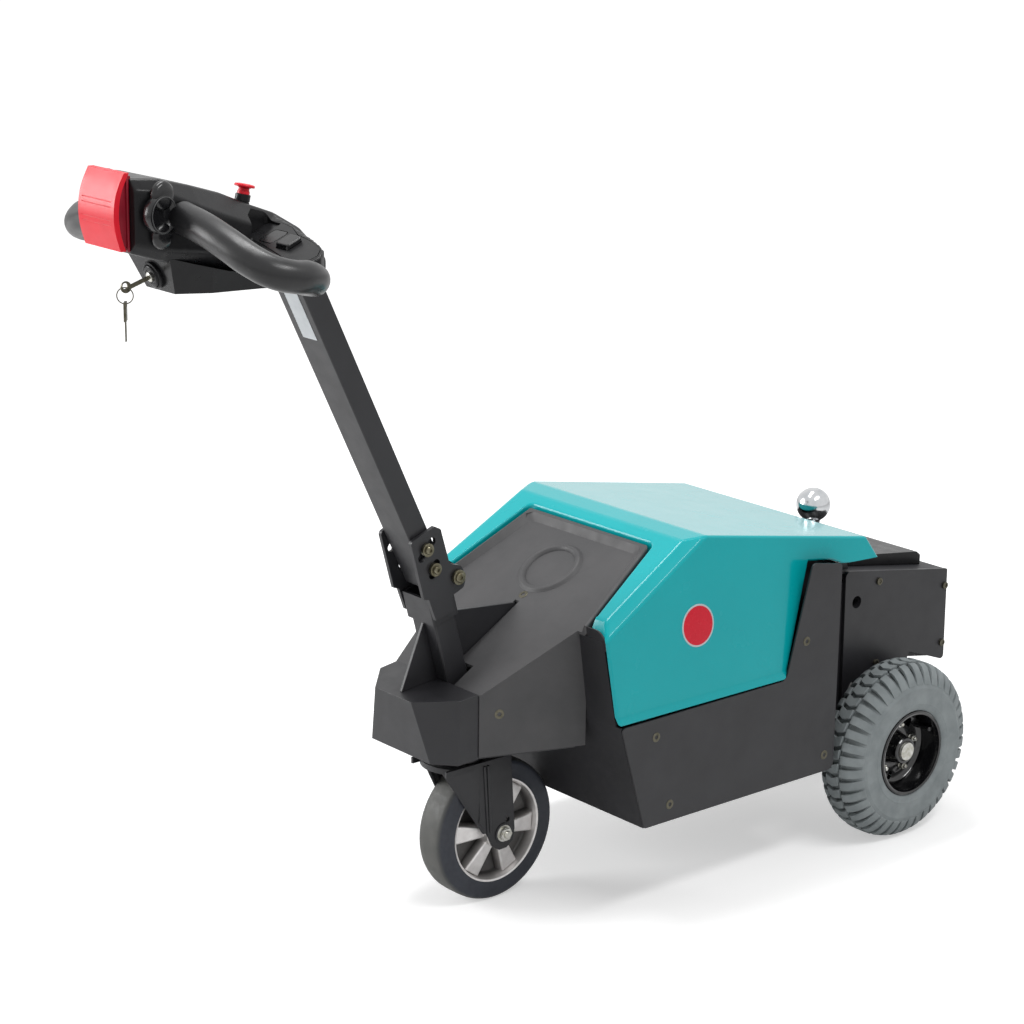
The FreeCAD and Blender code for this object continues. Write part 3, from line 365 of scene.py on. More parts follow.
def mottled(name, dark, light, rough, patch=25.0, fine=1200.0, depth=0.05, strength=0.3,
            metal=0.0, coat=0.0, coat_rough=0.08, specular=0.5):
    """The common recipe: cloudy colour, cloudy roughness and one fine grain of a depth in millimetres."""
    material = bpy.data.materials.new(name)
    material.use_nodes = True
    tree = material.node_tree
    bump = add(tree, "Bump", {"Distance": depth * MM, "Strength": strength, "Height": grain(tree, fine)})
    sockets = tree.nodes["Principled BSDF"].inputs
    for socket, value in (("Metallic", metal), ("Coat Weight", coat), ("Coat Roughness", coat_rough),
                          ("Specular IOR Level", specular)):
        sockets[socket].default_value = value
    tree.links.new(cloudy(tree, patch, dark, light), sockets["Base Color"])
    tree.links.new(span(tree, grain(tree, patch * 3.1), 0.3, 0.7, *rough), sockets["Roughness"])
    tree.links.new(bump.outputs[0], sockets["Normal"])
    return material


def fade_base(material, factor, other):
    """Let the base colour give way to another one as the factor goes from 0 to 1."""
    tree = material.node_tree
    base = tree.nodes["Principled BSDF"].inputs["Base Color"]
    mix = add(tree, "Mix", {"Factor": factor}, data_type="RGBA")
    tree.links.new(base.links[0].from_socket, mix.inputs[6])
    if isinstance(other, bpy.types.NodeSocket):
        tree.links.new(other, mix.inputs[7])
    else:
        mix.inputs[7].default_value = (*other, 1.0)
    tree.links.new(mix.outputs[2], base)


# %% [markdown]
# ## Paint, powder coat and cover skin
#
# The hood is sheet steel with a smooth two-coat paint. A clear coat over the colour gives the sharp
# highlight, and a very low, wide ripple (orange peel) stops it from looking like glass. Powder coat is
# sprayed on dry and baked: it melts into a skin with a fine, even grain, and reflects the room softly.
# The big cover behind the column has a coarser sand texture, and is a dark warm grey.

# %% Paint, powder and cover
teal_paint = mottled("teal_paint", (0.001, 0.365, 0.395), (0.002, 0.385, 0.415), (0.22, 0.28), patch=9.0,
                     fine=260.0, depth=0.03, strength=0.012, coat=1.0, coat_rough=0.12, specular=0.1)
teal_paint.node_tree.nodes["Principled BSDF"].inputs["Coat IOR"].default_value = 1.27
black_powder = mottled("black_powder", (0.014, 0.014, 0.016), (0.020, 0.020, 0.023), (0.36, 0.46),
                       patch=14.0, fine=1500.0, depth=0.06, strength=0.35, specular=0.42)
wall_powder = mottled("wall_powder", (0.015, 0.015, 0.017), (0.020, 0.020, 0.023), (0.46, 0.56),
                      patch=14.0, fine=1500.0, depth=0.06, specular=0.3)
grey_cover = mottled("grey_cover", (0.040, 0.040, 0.042), (0.052, 0.051, 0.053), (0.50, 0.60),
                     patch=18.0, fine=900.0, depth=0.12, strength=0.5)
print("teal paint, powder coat outside and inside, cover skin")

# %% [markdown]
# ## Zinc, steel and aluminium
#
# Bolts are zinc plated: bright, with faint yellow clouds. The small screws are burnished almost black.
# The ball is polished, with fine scratches. The castor wheel is a rough aluminium casting whose deep
# pockets get painted shade: the nearer a point lies to the wheel's middle plane, the darker it is.

# %% Metals
bright_zinc = mottled("bright_zinc", (0.40, 0.39, 0.33), (0.62, 0.62, 0.60), (0.24, 0.42),
                      patch=160.0, fine=1800.0, depth=0.02, metal=1.0)
dark_zinc = mottled("dark_zinc", (0.075, 0.070, 0.048), (0.140, 0.130, 0.100), (0.30, 0.46),
                    patch=160.0, fine=1800.0, depth=0.02, metal=0.9)
olive_zinc = mottled("olive_zinc", (0.11, 0.098, 0.06), (0.21, 0.195, 0.145), (0.28, 0.44),
                     patch=160.0, fine=1800.0, depth=0.02, metal=1.0)
polished_ball = mottled("polished_ball", (0.50, 0.52, 0.54), (0.66, 0.67, 0.68), (0.10, 0.20),
                        patch=60.0, fine=2500.0, depth=0.01, strength=0.25, metal=1.0)
castor_aluminium = mottled("castor_aluminium", (0.66, 0.64, 0.63), (0.80, 0.78, 0.77), (0.34, 0.50),
                           patch=90.0, fine=1100.0, depth=0.08, strength=0.5, metal=0.85)
# Painted shade: the casting's colour goes dark near its middle plane, where the pockets lie in shade.
tree = castor_aluminium.node_tree
axes = add(tree, "SeparateXYZ", {"Vector": object_place(tree)})
across = add(tree, "Math", {0: axes.outputs["Y"]}, operation="ABSOLUTE")
fade_base(castor_aluminium, span(tree, across.outputs[0], 0.007, 0.020, 0.90, 0.05), (0.02, 0.019, 0.018))
print("zinc, polished steel and cast aluminium")

# %% [markdown]
# ## Plastics and the grip
#
# The control head is moulded in black plastic with a satin, spark-eroded skin. The grips are smoother.
# The pad that stops the machine is red, and its side skirt is the same red painted darker as painted shade.

# %% Plastics
black_plastic = mottled("black_plastic", (0.007, 0.007, 0.008), (0.011, 0.011, 0.012), (0.26, 0.34),
                        patch=22.0, fine=1700.0, depth=0.03, strength=0.15, specular=0.2)
key_plastic = mottled("key_plastic", (0.004, 0.004, 0.005), (0.008, 0.008, 0.009), (0.20, 0.27),
                      patch=60.0, fine=2200.0, depth=0.03, strength=0.12)
grip_rubber = mottled("grip_rubber", (0.009, 0.009, 0.010), (0.014, 0.014, 0.015), (0.30, 0.37),
                      patch=40.0, fine=1400.0, depth=0.03, strength=0.12, specular=0.45)
red_plastic = mottled("red_plastic", (0.72, 0.009, 0.024), (0.78, 0.013, 0.030), (0.30, 0.38),
                      patch=30.0, fine=1500.0, depth=0.04, strength=0.25, specular=0.3)
# The pad's red painted darker: painted shade for its recessed carrier and flange.
shade_painted_red = mottled("shade_painted_red", (0.20, 0.001, 0.012), (0.28, 0.003, 0.018), (0.34, 0.44),
                   patch=30.0, fine=1500.0, depth=0.04, strength=0.25)
print("head, keys, grips and red pad")

# %% [markdown]
# ## Rubber
#
# The drive tyres are a grey, non-marking compound with a dusty, uneven skin. The castor tyre is a dark
# blue-grey elastic band that has worn paler where it rolls, so its colour is mixed by the distance from
# its own axle: a Mapping node puts the axle at the origin, and the length of the remaining vector is the
# radius.

# %% Tyres
grey_tyre = mottled("grey_tyre", (0.200, 0.224, 0.230), (0.268, 0.296, 0.302), (0.62, 0.76),
                    patch=45.0, fine=900.0, depth=0.15, strength=0.5, specular=0.35)
castor_rubber = mottled("castor_tyre", (0.019, 0.022, 0.031), (0.027, 0.031, 0.042), (0.48, 0.62),
                        patch=45.0, fine=1100.0, depth=0.08, strength=0.4)
tree = castor_rubber.node_tree
from_axle = add(tree, "Mapping", {"Vector": object_place(tree), "Location": (-CASTOR.x, 0, -CASTOR.z),
                                  "Scale": (1, 0, 1)})
radius = add(tree, "VectorMath", {0: from_axle.outputs[0]}, operation="LENGTH")
fade_base(castor_rubber, span(tree, radius.outputs["Value"], 0.0955, 0.0995, 0.0, 1.0),
          cloudy(tree, 70.0, (0.056, 0.058, 0.054), (0.084, 0.084, 0.078)))
print("grey tyre and castor band")

# %% [markdown]
# ## The rest
#
# The drive rims are gloss black. The battery is a ribbed dark case and the drive a grey casting: both
# are inside, and show only from below. The badge and label places have plain finishes.

# %% Rims, battery, casting, badge and label
black_rim = mottled("black_rim", (0.005, 0.005, 0.006), (0.008, 0.008, 0.009), (0.10, 0.16),
                    patch=50.0, fine=500.0, depth=0.03, strength=0.1, coat=0.4)
battery_case = mottled("battery_case", (0.020, 0.022, 0.026), (0.032, 0.034, 0.038), (0.45, 0.6),
                       patch=30.0, fine=900.0, depth=0.1, strength=0.4)
drive_casting = mottled("drive_casting", (0.16, 0.16, 0.16), (0.25, 0.25, 0.245), (0.5, 0.7),
                        patch=40.0, fine=500.0, depth=0.25, strength=0.6, metal=0.6)
badge_red = mottled("badge_red", (0.60, 0.004, 0.022), (0.64, 0.006, 0.026), (0.22, 0.30), patch=60.0,
                    fine=800.0, depth=0.02, strength=0.1, coat=0.1, specular=0.25)
label_white = mottled("label_white", (0.47, 0.50, 0.52), (0.54, 0.57, 0.59), (0.36, 0.5),
                      patch=60.0, fine=900.0, depth=0.02, strength=0.15)
print(len(bpy.data.materials), "finishes so far")

# %% [markdown]
# ## The hood
#
# The real hood is one painted sheet: a roof that rises forward to a ridge, a front slope, and two sides
# that lean inwards and flare out again at the foot. It is built the way a sheet worker thinks of it. A
# solid block gets the outer form: leaning planes cut its sides, a flat bevel takes the long edges off, and
# a rounding bevel softens all that is left. Two soft creases side by side catch the light as two lines.
# The tail is trimmed where it would meet the rear cover. Later the faces that are openings are deleted,
# and Solidify gives the skin 3 mm.

# %% Hood: the outer block
RIDGE, SLOPE_FOOT = (394.0, 512.0), (560.0, 416.1)
ROOF_REAR, TAIL = (69.0, 455.0), (46.0, 422.0)
SIDE_BASE_Z, SIDE_BASE_HALF, RIDGE_HALF = 298.0, 200.6, 178.0
LEAN = (SIDE_BASE_HALF - RIDGE_HALF) / (RIDGE[1] - SIDE_BASE_Z)
hood_side = [(39.7, 413.0), ROOF_REAR, RIDGE, SLOPE_FOOT, (560, 398), (549, 287.0), (241, 287.0),
             (234, 298), (186, 440), (141, 434), (118, 425)]
hood = slab("hood_shell", hood_side, -237, 237)
for side in (1, -1):
    edit(hood)
    bpy.ops.mesh.bisect(plane_co=at(0, side * SIDE_BASE_HALF, SIDE_BASE_Z),
                        plane_no=(0, side * 1.0, LEAN), use_fill=True, clear_outer=True)
face_outwards(hood)
print("hood block", [round(v, 3) for v in hood.dimensions])

# %% Hood: rounded edges
SIDE_NORMAL = Vector((0, 1, LEAN)).normalized()


def side_depth(point):
    """How far inside the leaning sides a point lies, in millimetres."""
    base = at(0, SIDE_BASE_HALF, SIDE_BASE_Z)
    return -(Vector((base.x, abs(point.y), point.z)) - base).dot(SIDE_NORMAL) / MM


def depth_under(point, low, high):
    """How far a point lies under the sloping line from low to high, in millimetres."""
    line = Vector((high[0] - low[0], high[1] - low[1]))
    normal = Vector((-line.y, line.x)).normalized()
    place = Vector(((point.x - AXLE_X) / MM - low[0], point.z / MM - low[1]))
    return -place.dot(normal) * math.copysign(1, normal.y)


def hood_depth(point):
    lines = ((ROOF_REAR, RIDGE), (RIDGE, SLOPE_FOOT), (TAIL, ROOF_REAR))
    return min([side_depth(point)] + [depth_under(point, *line) for line in lines])


def on_slope(edge, reach):
    return all(abs(depth_under(v.co, RIDGE, SLOPE_FOOT)) < reach for v in edge.verts)


found = bevel_edges(hood, lambda e: on_slope(e, 0.3) and all(abs(side_depth(v.co)) < 0.3 for v in e.verts),
                    15, 1, clamp=False)
soften(hood, 8.0, 6, 14)
cut_away(hood, slab("tail_trim", [(0, 380), (117.9, 380), (117.9, 424.9), (46.4, 422.2), (46.4, 470),
                                  (0, 470)], -240, 240))
face_outwards(hood)
print(found, "long edges flattened and rounded,", len(hood.data.polygons), "faces")

# %% [markdown]
# The window for the grey cover narrows towards the top. Its cutter is a prism with rounded corners whose
# floor follows the slope a little below it. The foot of each side flares out to the panel below it: the
# sides are divided just above the edge, and the lowest corners are moved out.

# %% Hood: window
SLOPE = (RIDGE[1] - SLOPE_FOOT[1]) / (SLOPE_FOOT[0] - RIDGE[0])
SINK = 16.0


def round_corners(points, radii, steps=6):
    """The outline with each corner drawn as an arc of its own radius."""
    result = []
    for i, radius in enumerate(radii):
        here = Vector(points[i])
        if radius <= 0:
            result.append(tuple(here))
            continue
        back = (Vector(points[i - 1]) - here).normalized()
        on = (Vector(points[(i + 1) % len(points)]) - here).normalized()
        half = back.angle(on) / 2
        middle = here + (back + on).normalized() * (radius / math.sin(half))
        start = here + back * (radius / math.tan(half)) - middle
        end = here + on * (radius / math.tan(half)) - middle
        result += [tuple(middle + start.lerp(end, k / steps).normalized() * radius)
                   for k in range(steps + 1)]
    return result


window_plan = round_corners([(422, 127), (590, 161.5), (590, -161.5), (422, -127)], [13, 0, 0, 13])
cutter = plan_slab("window", window_plan, 380, 560)
for corner in cutter.data.vertices:
    if corner.co.z < 0.4:
        corner.co.z = (RIDGE[1] - ((corner.co.x - AXLE_X) / MM - RIDGE[0]) * SLOPE - SINK) * MM
cut_away(hood, cutter)
face_outwards(hood)
rim_edges = bevel_edges(hood, lambda e: on_slope(e, 0.4) and max(abs(v.co.y) for v in e.verts) < 0.1525
                        and len(e.link_faces) == 2 and e.calc_face_angle(0) > 0.6, 3.2, 3, clamp=False)
print(rim_edges, "edges of the window rounded")

# %% Hood: flared foot, openings and sheet
FLARE, FLARE_TOP, FLARE_HEIGHT = 6.2, 298.5, 11.5
edit(hood)
bpy.ops.mesh.bisect(plane_co=at(0, 0, FLARE_TOP), plane_no=(0, 0, 1))
rest()
for corner in hood.data.vertices:
    if corner.co.z < 0.2978 and side_depth(corner.co) < 9.0:
        share = min(1.0, (FLARE_TOP * MM - corner.co.z) / (FLARE_HEIGHT * MM))
        corner.co.y += math.copysign(FLARE * MM * share, corner.co.y)
edit(hood, everything=False)
openings = pick(hood, "FACE", lambda f: hood_depth(f.calc_center_median()) > 9.5)
bpy.ops.mesh.delete(type="FACE")
modify(hood, "SOLIDIFY", thickness=3 * MM, offset=-1, use_even_offset=True)
soften(hood, 0.9, 2, 50)
print(openings, "openings cleared,", len(hood.data.polygons), "faces")

# %% [markdown]
# The two hinge knuckles under the rear of the roof are flat eyes on the same axis as the hinge pins.
# They are welded to the hood, so they are joined to it.

# %% Hood: hinge knuckles
HINGE = (56.0, 412.0)
eye = [(HINGE[0] + 7 * math.cos(math.radians(a)), HINGE[1] + 7 * math.sin(math.radians(a)))
       for a in range(150, 391, 15)]
knuckles = []
for y0 in (126.3, -132.3):
    knuckle = slab("knuckle", eye + [(63.5, 434), (55.5, 434)], y0, y0 + 6)
    cut_away(knuckle, lathe("hole", pin(4.05, -150, 150), at(HINGE[0], 0, HINGE[1]), steps=24))
    knuckles.append(soften(knuckle, 0.5, 1, 50))
hand_over(join("hood_shell", [hood] + knuckles), "hood", teal_paint, ["hood"], smooth=28)

# %% [markdown]
# ## The grey cover
#
# Behind the column the cover is a shallow tray: a raised rim just below the hood, a slanting border, and
# a sunk plane that runs down to the nose, with a folded skirt on each side. The CAD node already has
# these planes, so the cover starts as its copy. The corners of rim and tray get the large radius of a
# moulding, and a pressed ring and a countersunk screw are added on the sunk plane.

# %% Cover: moulded corners
cover = cad_copy("front_cover", "cover_skin")


def near_plan(point, corners, reach):
    return any(math.hypot(point.x - at(x, 0, 0).x, abs(point.y) - y * MM) < reach * MM for x, y in corners)


def rim_corner(edge):
    a, b = (v.co for v in edge.verts)
    corners = [(428, 122), (562, 151)]
    return near_plan(a, corners, 1.5) and near_plan(b, corners, 1.5) and abs(a.z - b.z) > 0.5 * MM


def border_corner(edge):
    a, b = sorted((v.co for v in edge.verts), key=lambda p: p.z)
    return ((near_plan(a, [(437, 106)], 2) and near_plan(b, [(431, 119)], 4))
            or (near_plan(a, [(549, 139)], 2) and near_plan(b, [(562, 151)], 12)))


outer = bevel_edges(cover, rim_corner, 9, 5)
inner = bevel_edges(cover, border_corner, 7, 4)
soften(cover, 1.8, 3, 18)
print(outer, "outer and", inner, "inner corners rounded,", len(cover.data.polygons), "faces")

# %% Cover: pressed ring
FLOOR_Z, FLOOR_SLOPE = 502.8, 0.595


def lay_on_floor(obj, x, y):
    """Tip a piece that stands on +Z at the world origin onto the cover's sunk plane."""
    tip = Matrix.Rotation(math.atan(FLOOR_SLOPE), 4, "Y")
    return moved(obj, Matrix.Translation(at(x, y, FLOOR_Z - (x - RIDGE[0]) * FLOOR_SLOPE)) @ tip)


ring_section = [(48, -1.2), (47.6, 0.1), (45.6, 1.6), (44.2, 3.2), (42.2, 4.0), (39.4, 3.9), (37.2, 2.4),
                (35.6, 0.4), (35.2, -1.2)]
ring = lay_on_floor(lathe("ring", ring_section, axis="Z", steps=72), 494, 0)
hand_over(join("cover_skin", [cover, ring]), "chassis", grey_cover, ["front_cover"], smooth=30)

# %% [markdown]
# ## Cheeks of the front wall
#
# The wall behind the nose closes the hood's open front right up to its rounded edge. The tray's wall in
# the CAD stops lower, so a small plate on each side carries it on, with the same rounded corner.

# %% Front wall cheeks
cheek_outline = round_corners([(149, 386), (186.5, 386), (184.2, 412.3), (149, 412.3)], [0, 0, 19, 0])
cheeks = []
for side in (1, -1):
    points = [at(547 + (z - 284) * 13 / 116 - 0.4, side * y, z) for y, z in cheek_outline]
    cheeks.append(soften(block("cheek", points, (-2.6 * MM, 0, 0)), 0.5, 2, 40))
hand_over(join("front_wall_cheeks", cheeks), "chassis", black_powder, smooth=30)

# %% [markdown]
# ## Sheet and plate
#
# The side panels, the tray, the nose, the spines, the rear plates and frame, the gussets and the brackets
# are cut, folded and welded steel. Their CAD outlines are right, so each is a copy whose edges get the
# radius that cutting and powder coating leave: small on thin sheet, larger on folded pieces. The rear
# cover is a plastic moulding, and is softened most.

# %% Black pieces
for finish, width, names in (
        (black_powder, 0.6, ("hood_hinge_left", "hood_hinge_right")),
        (black_powder, 0.8, ("side_panel_left", "side_panel_right", "nose_spine_left", "nose_spine_right")),
        (black_powder, 0.9, ("column_gusset_front", "column_gusset_rear", "tiller_bracket_left",
                             "tiller_bracket_right")),
        (black_powder, 1.0, ("castor_plate",)),
        (black_powder, 1.2, ("rear_side_plate_left", "rear_side_plate_right")),
        (black_powder, 2.4, ("nose_block",)),
        (black_plastic, 2.6, ("rear_cover",)),
        (wall_powder, 0.8, ("chassis_tray",)),
        (wall_powder, 1.0, ("rear_frame",))):
    for node in names:
        hand_over(crisp(node, width, 3 if width > 2 else 2), "chassis", finish, [node], smooth=30)

# %% [markdown]
# ## Column, collar and arm
#
# The square tubes are cold-formed, so their long corners have a real radius of about twice the wall,
# while their cut ends stay crisp. The long edges are picked by their direction, along the tube, and
# bevelled first. The general softening then does the ends.

# %% Square tubes


def tube(node, lean_degrees, corner_radius):
    obj = cad_copy(node, node + "_shell")
    lean = math.radians(lean_degrees)
    along = Vector((math.sin(lean), 0, math.cos(lean)))
    reach = max(abs(v.co.y) for v in obj.data.vertices) - 0.3 * MM

    def long_corner(edge):
        a, b = (v.co for v in edge.verts)
        run = b - a
        if run.length < 20 * MM or min(abs(a.y), abs(b.y)) < reach or len(edge.link_faces) != 2:
            return False
        return abs(run.normalized().dot(along)) > 0.998 and edge.calc_face_angle(0) > 1.2

    print(node, bevel_edges(obj, long_corner, corner_radius, 4), "long corners")
    return soften(obj, 0.7, 2, 40)


COLUMN_LEAN, ARM_LEAN = 15.2, 25.9
for node, lean, radius, body in (("tiller_column", COLUMN_LEAN, 3.2, "chassis"),
                                 ("column_collar", COLUMN_LEAN, 2.6, "chassis"),
                                 ("tiller_arm", ARM_LEAN, 3.2, "tiller")):
    hand_over(tube(node, lean, radius), body, black_powder, [node], smooth=30)

# %% [markdown]
# ## Drive tyres
#
# A small pneumatic tyre for a trolley: a smooth carcass, a middle row of chevron blocks, and a row of
# lugs on each shoulder whose gaps run out a little way down the side wall. The carcass is a profile on
# the lathe. Tread could be carved out of it, but it is cleaner to set blocks on it, as the mould does:
# one middle block and one shoulder lug are modelled, softened, and copied forty times round the axle.

# %% Drive tyre: carcass
WHEEL_Y = 193.0
carcass = [
    (63.2, 34), (66, 36.2), (72, 37.0), (74, 37.9), (76, 37.1), (88, 37.3), (94, 37.4), (95.2, 37.9),
    (96.6, 37.9), (97.6, 37.3), (101, 36.0), (104, 34.0), (109, 30.4), (113.6, 26.0), (117.4, 21.0),
    (119.8, 16.0), (120.6, 12.0), (122.0, 10.8), (122.8, 0),
]


def both_ways(half_profile):
    """A profile continued with its mirror image, from the last point back."""
    return half_profile + [(r, -y) for r, y in half_profile[-2::-1]]


def wheel_point(radius, angle, y):
    """On the left wheel: radius in millimetres, angle round the axle, y from the tyre's middle."""
    return HUB + Vector((radius * MM * math.sin(angle), (WHEEL_Y + y) * MM, radius * MM * math.cos(angle)))


left_centre = wheel_point(0, 0, 0)
tyre = lathe("tyre", both_ways(carcass), left_centre, steps=120)
print("carcass", len(tyre.data.polygons), "faces on a wheel of radius", round(HUB.z / MM, 1))

# %% Drive tyre: one block and one lug, forty of each
PITCHES = 40
PITCH = 2 * math.pi / PITCHES
LUG_HALF, LUG_SHIFT = 0.315 * PITCH, 0.38
chevron = [(-0.34, -10.8), (0.34, -10.8), (0.56, 0), (0.34, 10.8), (-0.34, 10.8), (-0.12, 0)]
middle_block = soften(block("tread", [wheel_point(129.9, PITCH * s, y) for s, y in chevron],
                            (0, 0, -5.6 * MM)), 0.9, 2)
lug_line = [(13.6, 128.9), (18.8, 127.6), (24.2, 124.0), (29.4, 118.0), (33.4, 110.8), (36.2, 102.8)]


def shoulder_lug(sign):
    top = [wheel_point(r, -LUG_HALF, sign * y) for y, r in lug_line]
    under = [wheel_point(r - 5.0, -LUG_HALF, sign * (y - 1.5)) for y, r in reversed(lug_line)]
    return soften(block("lug", top + under, (2 * 126 * MM * math.sin(LUG_HALF), 0, 0)), 0.9, 2)


patterns = [(middle_block, 0), (shoulder_lug(1), LUG_SHIFT), (shoulder_lug(-1), LUG_SHIFT)]
tread = [copy_of(pattern, "tread", turned_about(HUB, PITCH * (i + shift), "Y"))
         for i in range(PITCHES) for pattern, shift in patterns]
for pattern, shift in patterns:
    bpy.data.objects.remove(pattern)
hand_over_pair(join("drive_tyre_left_tread", [tyre] + tread), "wheel_left", grey_tyre, ["drive_tyre_left"])

# %% [markdown]
# ## Drive rims
#
# A pressed steel rim with a deep dish: a rolled lip that holds the tyre, a well, and a disc with five
# hand holes between the wheel bolts. The profile is spun, the five holes are cut from the disc, and the
# bolts, the zinc hub ring, the cap and the valve are added as small turned pieces.

# %% Drive rim: pressing
rim_loop = [
    (10.2, -34), (19, -34), (19, -5), (24, -5.6), (44, -5.6), (50.5, -9), (56.6, -14), (59.4, -28),
    (60.4, -32.2), (62.8, -32.6), (62.8, 32.4), (62.4, 35.6), (60.2, 36.9), (57.6, 36.0), (56.4, 32),
    (55.0, 26), (55.0, 4), (52.6, 0.6), (47.6, -1.2), (42, -1.2), (36, 1.4), (28, 1.6), (24.6, 0.4),
    (23, 3.4), (20.6, 13.5), (19, 21.5), (10.2, 21.5),
]
rim = lathe("rim", rim_loop, left_centre, steps=96)
for i in range(5):
    spot = wheel_point(43.5, math.radians(72 * i + 28), 0)
    cut_away(rim, lathe("hole", pin(6.4, -60, 60), spot, steps=24))
soften(rim, 0.6, 2, 35)
hub_black = [(12.8, 16), (19.2, 16), (19.8, 18), (19.8, 21.6), (18.6, 23.2), (15.2, 23.6), (14.2, 22.4),
             (12.8, 22.2)]
rim = join("drive_rim_left_pressing", [rim, lathe("hub_black", hub_black, left_centre, steps=60)])
print("rim", len(rim.data.polygons), "faces")


def hex_head(name, across, height, centre, side=1):
    """A hexagon head standing on a plane that faces along Y, with its corners turned down."""
    radius = across / math.sqrt(3) * MM
    points = [centre + Vector((math.cos(math.radians(60 * i)), 0, math.sin(math.radians(60 * i)))) * radius
              for i in range(6)]
    return soften(block(name, points, (0, side * height * MM, 0)), min(0.9, height * 0.25), 2, 40)


def washer(radius, thickness, centre, side=1, hole=2.0):
    section = [(hole, 0), (radius - 0.4, 0), (radius, 0.4), (radius, thickness - 0.4),
               (radius - 0.5, thickness), (hole, thickness)]
    return lathe("washer", [(r, side * y) for r, y in section], centre, steps=36)


# %% Drive rim: bolts, hub ring, cap and valve
bright = []
for i in range(5):
    spot = wheel_point(35.5, math.radians(72 * i + 64), 1.3)
    bright += [washer(6.4, 1.4, spot), hex_head("bolt", 10.0, 5.4, spot + Vector((0, 1.3, 0)) * MM),
               lathe("bolt_tip", [(0.001, 0), (3.0, 0), (3.0, 3.4), (2.4, 4.2), (0.001, 4.2)],
                     spot + Vector((0, 6.4, 0)) * MM, steps=20)]
hub_ring = [(8.6, 20), (12.6, 20), (13.2, 20.8), (13.2, 24.4), (12.4, 25.4), (10.8, 25.6), (10.0, 25.0),
            (8.6, 24.8)]
bright.append(lathe("hub_ring", hub_ring, left_centre, steps=60))
hub_cap = [(0.001, 20), (8.8, 20), (8.8, 25.6), (8.2, 26.6), (6.8, 27.2), (0.001, 27.6)]
stem = [(0.001, -2), (4.2, -2), (4.2, 6), (3.4, 8), (3.4, 20), (3.9, 20.6), (3.9, 27), (3.0, 28.2),
        (0.001, 28.2)]
valve = lathe("valve_left", stem, wheel_point(51.5, math.radians(-62), 0), steps=20)
hand_over_pair(rim, "wheel_left", black_rim, ["drive_rim_left"])
hand_over_pair(join("rim_bolts_left", bright), "wheel_left", bright_zinc)
hand_over_pair(lathe("hub_cap_left", hub_cap, left_centre, steps=48), "wheel_left", bright_zinc)
hand_over_pair(valve, "wheel_left", key_plastic)

# %% [markdown]
# ## Castor wheel
#
# A dark elastic tread bonded to a cast aluminium centre. The tread has rounded shoulders and a slightly
# hollow side, with a bright machined ring where it meets the metal. The centre is a casting: a deep
# turned dish with a hub, and on each side six broad spokes with sloping flanks that narrow to the rim.
# A spoke is a block whose outer corners are pulled in, so that its flanks slope like a mould's.

# %% Castor tread and centre
band = [(73, -24), (75, -24), (76, -23.4), (84, -22.9), (92, -23.5), (95.5, -22.6), (98.2, -20.2),
        (99.5, -16.5), (100, -9), (100, 0)]
hand_over(lathe("castor_band", both_ways(band), CASTOR, steps=120), "castor_wheel", castor_rubber,
          ["castor_tyre"])
half_dish = [(6.1, -31.4), (21, -31.4), (22.4, -30), (25, -9), (27, -6.4), (64, -6.4), (66.6, -9),
             (69.6, -22), (70.6, -23.9), (73.1, -24.5)]
castings = [lathe("dish", half_dish + [(r, -y) for r, y in reversed(half_dish)], CASTOR, steps=96)]


def on_castor(radius, angle, y):
    return CASTOR + Vector((radius * math.cos(angle), y, radius * math.sin(angle))) * MM


for middle, side in ((math.radians(60 * i + 5), side) for i in range(6) for side in (1, -1)):
    foot = [on_castor(r, middle + side * t, side * 5.0)
            for r, t in ((20, -0.46), (69.5, -0.27), (69.5, 0.27), (20, 0.46))]
    crest = [on_castor(r, middle + side * t, side * y)
             for r, t, y in ((20, -0.36, 24.0), (69.2, -0.19, 18.0), (69.2, 0.19, 18.0), (20, 0.36, 24.0))]
    lift = Vector((0, side * 10, 0)) * MM
    spoke = block("spoke", foot, lift)
    for vertex in spoke.data.vertices:
        place = vertex.co.copy()
        for corner, top in zip(foot, crest):
            if (place - corner - lift).length < 0.1 * MM:
                vertex.co = top
    castings.append(soften(spoke, 2.2, 3, 20))
hand_over(join("castor_centre", castings), "castor_wheel", castor_aluminium, ["castor_rim"], smooth=32)

# %% [markdown]
# ## Castor fork and axle
#
# The fork is pressed from plate. The rear half of each leg is a flat flange. The front half is part of a
# cone that wraps round the crown and narrows to the axle, and a double rib parts the two. The cone is a
# strip of faces bridged between two lines of points, thickened by Solidify. The axle is a bolt with a
# nut.

